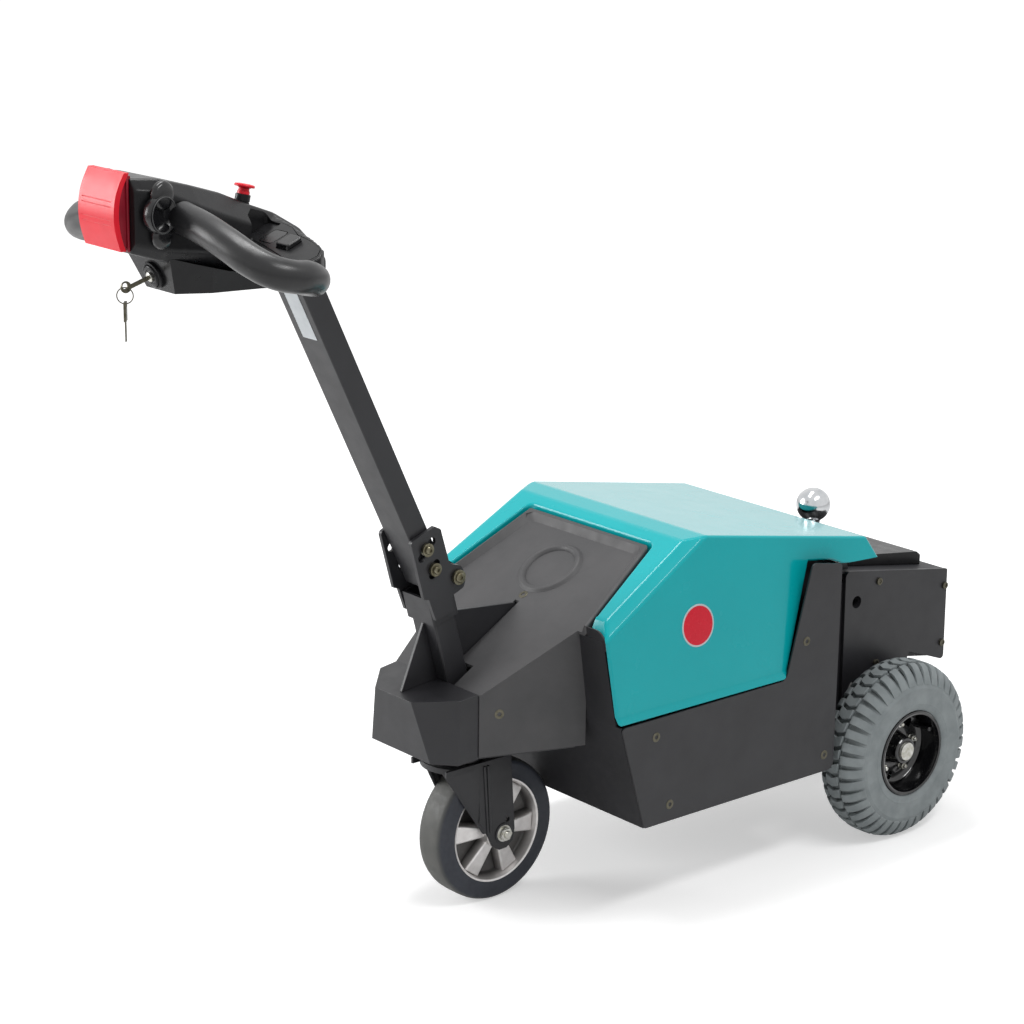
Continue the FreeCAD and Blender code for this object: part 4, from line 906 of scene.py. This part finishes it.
# %% Castor fork
fork = crisp("castor_fork", 1.2)
details = []
cone_top = [(641, 38.0), (660, 37.6), (676, 34.0), (690, 26.5), (698, 16.0)]
cone_foot = [(630, 38.0), (632, 37.8), (634, 37.2), (636, 36.2), (637.5, 34.8)]
eye_rim = [(14.5, 37.8), (14.5, 39.2), (13.6, 39.8), (10, 39.8), (10, 37.8)]
for side in (1, -1):
    cut_away(fork, plan_slab("front_cut", [(x, side * y) for x, y in ((645, 33), (720, 33), (720, 42),
                                                                      (645, 42))], 60, 201.5))
    drill = lathe("drill", [(0.001, 30), (3.6, 30), (3.6, 44), (0.001, 44)], at(596, 0, 118), steps=24)
    cut_away(fork, on_side(drill, side))
    upper_line = [at(x, side * y, 207) for x, y in cone_top]
    lower_line = [at(x, side * y, 106) for x, y in cone_foot]
    cone = outline("cone", upper_line + lower_line[::-1], filled=False)
    edit(cone, everything=False)
    pick(cone, "EDGE", lambda e: abs(e.verts[0].co.z - e.verts[1].co.z) > 50 * MM)
    bpy.ops.mesh.delete(type="EDGE")
    bpy.ops.mesh.select_all(action="SELECT")
    bpy.ops.mesh.bridge_edge_loops()
    bpy.ops.mesh.normals_make_consistent(inside=False)
    rest()
    if cone.data.polygons[0].normal.y * side < 0:
        cone.data.flip_normals()
    modify(cone, "SOLIDIFY", thickness=4 * MM, offset=-1)
    details.append(soften(cone, 0.8, 2, 40))
    for x0, x1 in ((631.5, 626.5), (637.5, 630.5)):
        rib = slab("rib", [(x0 - 2.2, 204), (x0 + 2.2, 204), (x1 + 1.6, 106), (x1 - 1.6, 106)],
                   side * 36.8, side * 40.0)
        details.append(soften(rib, 1.2, 3, 40))
    details.append(on_side(lathe("eye_rim", eye_rim, CASTOR, steps=48), side))
hand_over(join("castor_fork_pressing", [fork] + details), "castor_fork", black_powder, ["castor_fork"])

# %% Castor axle
axle_pieces = [crisp("castor_axle", 0.6, 2, 35)]
for side in (1, -1):
    tip_spot = CASTOR + Vector((0, side * 45.0, 0)) * MM
    tip = lathe("tip", [(0.001, 0), (5.2, 0), (5.2, 2.6), (4.4, 3.4), (0.001, 3.4)], tip_spot, steps=24)
    if side < 0:
        moved(tip, turned_about(tip_spot, math.pi, "Z"))
    axle_pieces += [washer(12.0, 2.0, CASTOR + Vector((0, side * 38, 0)) * MM, side),
                    hex_head("nut", 16.6, 6.2, CASTOR + Vector((0, side * 39.9, 0)) * MM, side), tip]
hand_over(join("castor_axle_set", axle_pieces), "castor_fork", bright_zinc, ["castor_axle"])

# %% [markdown]
# ## The control head
#
# The head is a moulding: a long back, two wings that carry the keys, and a lower half with the key
# switch. Mouldings have no hard corners inside or outside. Bevelling a shape with so many meeting faces
# leaves pinches, so the CAD copy is rebuilt instead: Remesh turns it into an even skin of small squares,
# Smooth lets that skin relax at the corners, and Decimate takes away the squares the flats don't need.

# %% Head: moulded upper housing
upper = cad_copy("head_upper_housing", "head_upper_housing_moulding", whole_faces=False)
modify(upper, "REMESH", mode="VOXEL", voxel_size=1.3 * MM)
modify(upper, "SMOOTH", factor=0.5, iterations=30)
modify(upper, "DECIMATE", ratio=0.5)
print("upper housing", len(upper.data.polygons), "faces")

# %% [markdown]
# ## Wing, key panel and keys
#
# The panel with the keys is let into the wing with a fine joint all round. Its plan is the wing's plan
# drawn in by a few millimetres, and everything on it lies parallel to the wing's tilted face. A pocket is
# cut in the housing, a little larger than the panel, so the joint is a real groove. The same trick gives
# each key its own joint: the first key lies deep in a well, the second is flush, the third stands proud.

# %% Key panel
WING_PLAN = [
    (960, 66), (969, 97), (976, 128), (982, 148), (990, 168), (1003, 178), (1014, 176), (1022, 165),
    (1026, 145), (1021, 112), (1009, 63), (1003, 38), (1000, 14), (962, 10), (957, 34),
]
WING_X, WING_Y, WING_Z, WING_FALL = 989.0, 98, 953.4, 0.413


def drawn_in(inset):
    """The wing's plan drawn in, with rounded corners."""
    result = []
    for x, y in WING_PLAN:
        away = Vector((WING_X + 3 - x, WING_Y - y))
        away = away.normalized() * min(inset, away.length * 0.5)
        result.append((x + away.x, y + away.y))
    return round_corners(result, [5] * len(WING_PLAN), 3)


def leaf(name, plan, base, height, rise=0.0):
    """A prism over a plan outline whose faces lie parallel to the wing's face, or rise from it."""
    points = [at(x, y, WING_Z + base + (x - WING_X) * (rise - WING_FALL)) for x, y in plan]
    return block(name, points, (0, 0, height * MM))


def key_outline(x, y, half_x, half_y, radius, grow=0.0):
    a, b = half_x + grow, half_y + grow
    return round_corners([(x - a, y - b), (x + a, y - b), (x + a, y + b), (x - a, y + b)],
                         [radius + grow] * 4, 4)


for side in (1, -1):
    cut_away(upper, leaf("pocket", [(x, side * y) for x, y in drawn_in(6.5)], -2.6, 30))
panel = soften(leaf("key_panel_left", drawn_in(7.5), -3.4, 3.7), 0.7, 2, 35)
cut_away(panel, leaf("well", key_outline(977, 31, 14, 15, 2.5), -1.6, 20, 0.20))
keys = [soften(leaf("key", key_outline(977, 31, 13, 14, 2), -2.2, 1.6, 0.20), 0.6, 2, 35)]
for place, height, edge, segments in (((988, 65, 12.5, 13, 4), 3.0, 0.8, 2),
                                      ((995, 105, 10.5, 12.5, 3.5), 8.6, 2.0, 3)):
    cut_away(panel, leaf("joint", key_outline(*place, grow=0.9), -1.9, 20))
    keys.append(soften(leaf("key", key_outline(*place), -2.4, height), edge, segments, 35))
hand_over_pair(panel, "tiller", black_plastic, ["key_plate_left"], smooth=40)
hand_over_pair(join("wing_keys_left_set", keys), "tiller", key_plastic, ["wing_keys_left"], smooth=40)
hand_over(upper, "tiller", black_plastic, ["head_upper_housing"], smooth=50)

# %% Lower housing
hand_over(crisp("head_lower_housing", 2.2, 3), "tiller", black_plastic, ["head_lower_housing"])

# %% [markdown]
# ## Grips
#
# Each grip is one bent tube that leaves the head high at the front, swings out and back, and runs into the
# wing. A Bezier curve with automatic handles passes through the stations of the bend, its round bevel
# gives the tube, and it is made a mesh at the end.

# %% Grips
GRIP_LINE = [
    (1109, 57, 987.5), (1107.5, 103, 979), (1105, 145, 967), (1098, 180, 953), (1085, 201, 943),
    (1062, 207.5, 936), (1040, 202, 932.5), (1020, 187, 925), (1006, 165, 920), (1001, 145, 917),
]
rest()
bpy.ops.curve.primitive_bezier_curve_add(enter_editmode=False)
grip = bpy.context.object
grip.data.splines.clear()
bend = grip.data.splines.new("BEZIER")
bend.bezier_points.add(len(GRIP_LINE) - 1)
for point, station in zip(bend.bezier_points, GRIP_LINE):
    point.co = at(*station)
    point.handle_left_type = point.handle_right_type = "AUTO"
bend.resolution_u = 10
grip.data.bevel_depth = 19 * MM
grip.data.bevel_resolution = 10
grip.data.use_fill_caps = True
choose(grip)
bpy.ops.object.convert(target="MESH")
grip = bpy.context.object
grip.name = "grip_left_tube"
face_outwards(grip)
hand_over_pair(grip, "tiller", grip_rubber, ["grip_left"], smooth=40)

# %% [markdown]
# ## Thumb switches
#
# Each side of the head has a rocking speed switch: a round hub with a hollow cup and a fine rim, and
# a thumb lobe above and below it. The rim is black plastic painted grey: a painted highlight along its
# edge. All of it is turned work: three profiles on the lathe overlap and make the one moulding, which is
# then turned a little towards the back to face the thumb.

# %% Thumb switches
THUMB_X, THUMB_Z = 1142.0, 994.0
thumb_turn = turned_about(at(THUMB_X - 12, 54, THUMB_Z), math.radians(15), "Z")
lobe_loop = [(0.001, 52), (14.0, 52), (16.4, 54), (17.0, 57.5), (16.2, 60.4), (13.6, 62.4), (9.0, 63.4),
             (0.001, 63.8)]
cup_loop = [(0.001, 50), (20.0, 50), (22.4, 53), (23.0, 60), (22.2, 63.6), (19.4, 64.2), (18.0, 62.0),
            (14.0, 58.4), (8.0, 57.0), (0.001, 56.8)]
rim_loop = [(19.4, 63.2), (20.6, 63.2), (20.9, 64.6), (20.4, 65.2), (19.8, 65.1), (19.4, 64.4)]
paddles = join("thumb_paddles_left", [
    lathe("cup", cup_loop, at(THUMB_X, 0, THUMB_Z)),
    lathe("lobe", lobe_loop, at(THUMB_X - 5, 0, THUMB_Z + 21), steps=48),
    lathe("lobe", [(r * 0.9, y) for r, y in lobe_loop], at(THUMB_X - 3, 0, THUMB_Z - 25), steps=48)])
grey_highlight_rim = lathe("thumb_rim_left", rim_loop, at(THUMB_X, 0, THUMB_Z))
hand_over_pair(moved(paddles, thumb_turn), "tiller", key_plastic, ["thumb_switch_left"], smooth=40)
# The rim is black plastic painted grey: a painted highlight along its edge.
hand_over_pair(moved(grey_highlight_rim, thumb_turn), "tiller", grey_cover, slot="black_plastic", smooth=40)

# %% [markdown]
# ## Red pad
#
# When the walking operator is pushed, this pad is pressed and the tractor reverses away. It is a bowed
# red cap with two pairs of fine cut lines, on a narrower carrier with a foot flange, both in the red
# painted darker as painted shade.

# %% Red pad


def eased(points, steps=4):
    """The line through the points, with smooth in-between points added."""
    result = []
    for i in range(len(points) - 1):
        p0, p1, p2, p3 = (Vector(points[min(max(k, 0), len(points) - 1)]) for k in range(i - 1, i + 3))
        for t in (step / steps for step in range(steps)):
            result.append(tuple(0.5 * ((2 * p1) + (p2 - p0) * t + (2 * p0 - 5 * p1 + 4 * p2 - p3) * t * t
                                       + (3 * p1 - p0 - 3 * p2 + p3) * t ** 3)))
    return result + [tuple(points[-1])]


pad_front = eased([(1179.5, 951.7), (1185.6, 972), (1187.8, 994), (1184, 1018), (1173.2, 1040.6)])
pad_cap = slab("pad_cap", pad_front + [(x - 7.0, z) for x, z in reversed(pad_front)], -38, 38)
for z in (981.5, 987.5, 1002.5, 1008.5):
    x = min(pad_front, key=lambda p: abs(p[1] - z))[0] - 0.9
    cut_away(pad_cap, slab("groove", [(x, z - 0.5), (x + 4.9, z - 0.5), (x + 4.9, z + 0.5), (x, z + 0.5)],
                           -31, 31))
hand_over(soften(pad_cap, 2.2, 3, 40), "tiller", red_plastic, ["belly_switch"], smooth=40)
carrier_front = [(max(x - 5.6, 1163.0), z) for x, z in pad_front if 954 < z < 1037]
carrier = slab("pad_carrier", [(1162.0, 954)] + carrier_front + [(1162.0, 1037)], -34.5, 34.5)
flange = slab("flange", [(1166.3, 950.5), (1169.6, 950.5), (1169.6, 1038.4), (1166.3, 1038.4)], -37.4, 37.4)
carrier = join("pad_carrier", [soften(carrier, 1.2, 2, 35), soften(flange, 1.0, 2, 35)])
# Carrier and flange take the darker red, which is painted shade.
hand_over(carrier, "tiller", shade_painted_red, smooth=40)

# %% [markdown]
# ## Emergency stop, key switch and keys
#
# The stop knob is turned: a collar in the head's black plastic with fine rings, a red stem and a broad red
# flange. The key switch is a barrel with a black bezel and a zinc face. All of these are lathe work,
# tipped to the angle they have on the head.

# %% Stop knob and key switch
stop_tip = Matrix.Translation(at(988, 0, 983)) @ Matrix.Rotation(math.radians(-13), 4, "Y")
key_tip = Matrix.Translation(at(1111, 0, 913)) @ Matrix.Rotation(math.radians(107.5), 4, "Y")
collar_loop = [(0.001, -8), (9.2, -8), (9.2, 3.2), (8.6, 3.6), (8.6, 4.4), (9.2, 4.8), (9.2, 12.2),
               (8.5, 13.0), (0.001, 13.0)]
knob_loop = [(0.001, 12.5), (7.4, 12.5), (7.6, 15.5), (6.6, 17.5), (6.4, 19.6), (8.5, 21.0), (11.8, 21.2),
             (12.4, 22.0), (12.4, 23.4), (11.6, 24.5), (7.4, 25.2), (6.8, 24.8), (0.001, 24.8)]
bezel_loop = [(0.001, -4), (17.2, -4), (17.6, 2.4), (16.8, 4.2), (15.0, 4.8), (14.0, 4.0), (13.6, 3.4),
              (13.0, 5.4), (11.8, 6.2), (9.2, 6.4), (8.6, 5.6), (0.001, 5.6)]
barrel_loop = [(0.001, 5), (6.0, 5), (6.0, 8.2), (5.2, 8.8), (0.001, 8.8)]
for name, loop, steps, tip, finish, stands_for in (
        ("stop_collar_turned", collar_loop, 40, stop_tip, black_plastic, ["stop_collar"]),
        ("stop_knob", knob_loop, 40, stop_tip, red_plastic, ["stop_button"]),
        ("key_bezel", bezel_loop, 48, key_tip, black_plastic, ["key_switch"]),
        ("key_barrel", barrel_loop, 32, key_tip, bright_zinc, [])):
    hand_over(moved(lathe(name, loop, axis="Z", steps=steps), tip), "tiller", finish, stands_for, smooth=40)
for node in ("key", "spare_key"):
    hand_over(crisp(node, 0.3, 2, 30), "tiller", dark_zinc, [node])

# %% [markdown]
# ## Arm joint: clamp bolts and pivot
#
# Two clamp bolts per side ride in arc slots of the bracket and fix the angle of the arm. They have round
# low heads with washers. The pivot below is a larger bolt. Bolts and arm move together.

# %% Clamp bolts and pivot
PIVOT_X, PIVOT_Z, BRACKET_FACE = 683.0, 475.0, 39.6


def cap_screw(radius, height, x, z, side, recess=2.6):
    """A low round head with a socket, turned in one piece, standing on the bracket."""
    loop = [(0.001, 0), (radius, 0), (radius, height * 0.55), (radius * 0.86, height * 0.92),
            (radius * 0.72, height), (recess, height), (recess, height * 0.45), (0.001, height * 0.35)]
    standing = [(r, BRACKET_FACE + y) for r, y in loop]
    return on_side(lathe("cap_screw", standing, at(x, 0, z), steps=32), side)


bolt_pieces = [crisp(node, 0.7, 2, 40) for node in ("clamp_bolts", "pivot_bolt")]
for side in (1, -1):
    for radius, degrees in ((69.0, 41.6), (42.6, 24.2)):
        x = PIVOT_X + radius * math.cos(math.radians(degrees))
        z = PIVOT_Z + radius * math.sin(math.radians(degrees))
        bolt_pieces += [washer(8.6, 1.4, at(x, side * 34.6, z), side, hole=4.0),
                        cap_screw(5.6, 3.8, x, z, side)]
    bolt_pieces.append(cap_screw(6.6, 3.2, PIVOT_X, PIVOT_Z, side))
hand_over(join("arm_bolts", bolt_pieces), "tiller", olive_zinc, ["clamp_bolts", "pivot_bolt"])

# %% [markdown]
# ## Screws on the body
#
# Countersunk screws hold the side panels, the nose and the cover, and low button screws hold the rear
# plates. A screw is a short turned disc with a round socket sunk in it. It is modelled once for each
# kind, and each place gets a copy.

# %% Body screws
PANEL_FACE, PLATE_FACE = 207.0, 146.0
SKIRT_FRONT, SKIRT_REAR = Vector((689.0, 88.5)), Vector((549.0, 139.0))


def socket_screw(radius, height):
    loop = [(0.001, -1.2), (radius, -1.2), (radius, height - 0.3), (radius - 0.5, height),
            (2.9, height), (2.6, height - 0.9), (0.001, height - 1.1)]
    return lathe("screw", loop, steps=28)


flush_screw, button_screw = socket_screw(6.6, 0.6), socket_screw(5.2, 3.0)
screws = [lay_on_floor(copy_of(flush_screw, "screw", Matrix.Rotation(math.pi / 2, 4, "X")), 541, 0)]
skirt = SKIRT_FRONT - SKIRT_REAR
skirt_turn = Matrix.Rotation(math.atan2(skirt.y, skirt.x), 4, "Z")
skirt_y = SKIRT_REAR.y + skirt.y * (663 - SKIRT_REAR.x) / skirt.x
places = [(flush_screw, Matrix(), x, PANEL_FACE, z)
          for x, z in ((485, 259), (457, 158), (206, 335), (161, 159))]
places += [(button_screw, Matrix(), x, PLATE_FACE, z)
           for x, z in ((-3.5, 367), (-147, 334), (-4.5, 244), (-147, 246))]
places.append((flush_screw, skirt_turn, 663, skirt_y, 300))
for pattern, turn, x, y, z in places:
    for side in (1, -1):
        screws.append(on_side(copy_of(pattern, "screw", Matrix.Translation(at(x, y, z)) @ turn), side))
for pattern in (flush_screw, button_screw):
    bpy.data.objects.remove(pattern)
hand_over(join("body_screws", screws), "chassis", dark_zinc)

# %% [markdown]
# ## Tow ball
#
# A 50 mm ball on a waisted neck, with a flange that seats on the rear roof. The profile is half the
# ball, the waist, the flange and the shank down to the foot of the CAD node, spun once. The top of a
# forged ball has a small machined flat.

# %% Tow ball
ball_low, ball_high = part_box("tow_ball")
ball_centre = at(-16, 0, 447)
foot = (ball_low.z - ball_centre.z) / MM
ball_loop = [(0.001, -90), (10, -90), (10.5, -88), (10.5, -60), (21, -60), (21, -55), (20.6, -53.6),
             (15.5, -53), (12.4, -48), (10.8, -40), (10.4, -30), (10.9, -25)]
for angle in (math.radians(-62 + 130 * i / 16) for i in range(17)):
    ball_loop.append((25 * math.cos(angle), 25 * math.sin(angle)))
ball_loop = [(r, max(z, foot)) for r, z in ball_loop + [(8.6, 23.5), (0.001, 23.6)]]
ball = lathe("tow_ball_forging", ball_loop, ball_centre, "Z", 72)
hand_over(ball, "chassis", polished_ball, ["tow_ball"], smooth=40)
print("ball top", round((ball_high.z - ball_centre.z) / MM, 1), "mm above its centre")

# %% [markdown]
# ## Badge and label places
#
# The side of the hood has a round badge place and the arm has a label place. Both stay blank: the badge
# is a plain red disc with a pale rim, the label a plain pale sheet. They are thin plates with softened
# edges, laid on the surface they belong to.

# %% Blank badge and label
BADGE_Z = 392
badge_rim = [(26.6, -0.4), (29, -0.4), (29, 0.4), (28.6, 0.8), (27.0, 0.8), (26.6, 0.6)]
badge_disc = [(0.001, -0.4), (26.8, -0.4), (26.8, 0.5), (20, 0.75), (0.001, 0.85)]
on_hood = (Matrix.Translation(at(399, SIDE_BASE_HALF - (BADGE_Z + 2 - SIDE_BASE_Z) * LEAN, BADGE_Z))
           @ Matrix.Rotation(math.atan(LEAN), 4, "X"))
for name, loop, finish in (("badge_rim_left", badge_rim, label_white),
                           ("badge_disc_left", badge_disc, badge_red)):
    hand_over_pair(moved(lathe(name, loop, steps=48), on_hood), "hood", finish, smooth=40)
lean = math.radians(ARM_LEAN)
outward = Vector((math.cos(lean), 0, -math.sin(lean)))
label_corners = [at(739.0 + (z - 500.0) * math.tan(lean), y, z) + outward * 0.05 * MM
                 for z, y in ((809, -14.5), (809, 14.5), (879, 14.5), (879, -14.5))]
label = soften(block("arm_label", label_corners, outward * 0.35 * MM), 0.12, 1, 40)
hand_over(label, "tiller", label_white, slot="black_powder")

# %% [markdown]
# ## Finishes for the nodes that stay
#
# The battery, the drive, the half shafts and the key ring keep their CAD shapes. They only need their
# finish. A CAD object is never changed, only its material slots.

# %% Carried-over nodes
KEPT = {"battery": battery_case, "drive_unit": drive_casting, "half_shaft_left": bright_zinc,
        "half_shaft_right": bright_zinc, "key_ring": dark_zinc}
for node, finish in KEPT.items():
    nodes[node].data.materials.clear()
    nodes[node].data.materials.append(finish)
print(len(KEPT), "nodes keep their shape")

# %% [markdown]
# ## Floor, light and camera
#
# A big pale floor takes the shadow. Its shader adds to an ordinary matt surface a little light of its
# own that only the camera and reflections see, so it reads as white paper without lighting the machine.
# The world does the same: white where it is seen or reflected, and softer as a light. A large lamp
# overhead lights the tops, one on the far side in front brightens all that faces forward, and a narrow
# strip on the near side draws a line of light along the rounded edges.

# %% Floor
rest()
bpy.ops.mesh.primitive_grid_add(x_subdivisions=8, y_subdivisions=8, size=90, location=(0, 0, 0))
floor = bpy.context.object
floor.name = "floor"
floor_finish = bpy.data.materials.new("floor")
floor_finish.use_nodes = True
tree = floor_finish.node_tree
tree.nodes.remove(tree.nodes["Principled BSDF"])
matt = add(tree, "BsdfDiffuse", {"Color": (0.80, 0.80, 0.80, 1)})
distance = add(tree, "VectorMath", {0: object_place(tree)}, operation="LENGTH").outputs["Value"]
glow = add(tree, "Emission", {"Strength": span(tree, distance, 0.7, 2.2, 0.44, 0.72)})
ray = add(tree, "LightPath", {}).outputs
seen = add(tree, "Math", {0: ray["Is Glossy Ray"], 1: 0.4, 2: ray["Is Camera Ray"]},
           operation="MULTIPLY_ADD")
only_seen = add(tree, "MixShader", {"Fac": seen.outputs[0], 2: glow.outputs[0]})
both = add(tree, "AddShader", {0: matt.outputs[0], 1: only_seen.outputs[0]})
tree.links.new(both.outputs[0], tree.nodes["Material Output"].inputs["Surface"])
floor.data.materials.append(floor_finish)

# %% World
world = bpy.data.worlds.new("studio")
bpy.context.scene.world = world
world.use_nodes = True
tree = world.node_tree
ray = add(tree, "LightPath", {}).outputs
seen = add(tree, "Math", {0: ray["Is Camera Ray"], 1: ray["Is Glossy Ray"]}, operation="MAXIMUM").outputs[0]
sky = tree.nodes["Background"].inputs
sky["Color"].default_value = (1, 1, 1, 1)
tree.links.new(span(tree, seen, 0.0, 1.0, 0.45, 1.0), sky["Strength"])
print("floor and world are white to the eye")

# %% Lamps
for name, place, target, size, width, watts in (
        ("overhead", (0.1, -0.5, 3.4), (0, 0, 0.3), 2.2, 0.45, 48),
        ("far_front", (2.6, -2.6, 1.5), (0.3, 0, 0.4), 2.0, None, 88),
        ("side_strip", (-0.2, 1.8, 3.0), (0.1, 0.1, 0.4), 1.8, 0.5, 35)):
    rest()
    bpy.ops.object.light_add(type="AREA", location=place)
    lamp = bpy.context.object
    lamp.name = name
    lamp.data.shape = "RECTANGLE" if width else "DISK"
    lamp.data.size = size
    if width:
        lamp.data.size_y = width
    lamp.data.energy = watts
    lamp.rotation_euler = (Vector(target) - Vector(place)).to_track_quat("-Z", "Y").to_euler()
    print(name, watts, "W")

# %% Camera
bpy.ops.object.camera_add(location=(2.2821, 2.6359, 1.4945))
camera = bpy.context.object
roll = math.radians(-0.67)
across = Vector((-0.7640, 0.6452, 0.0))
downward = Vector((0.1751, 0.2074, -0.9624))
backward = Vector((0.6210, 0.7353, 0.2714))
right = across * math.cos(roll) + downward * math.sin(roll)
upward = across * math.sin(roll) - downward * math.cos(roll)
camera.rotation_euler = Matrix((right, upward, backward)).transposed().to_euler()
camera.data.lens = 95.28
camera.data.sensor_width = 36
camera.data.shift_x = 0.00657
camera.data.shift_y = 0.01005
camera.data.clip_end = 200
bpy.context.scene.camera = camera
bpy.context.scene.view_settings.view_transform = "Standard"
print("camera", [round(v, 3) for v in camera.location])
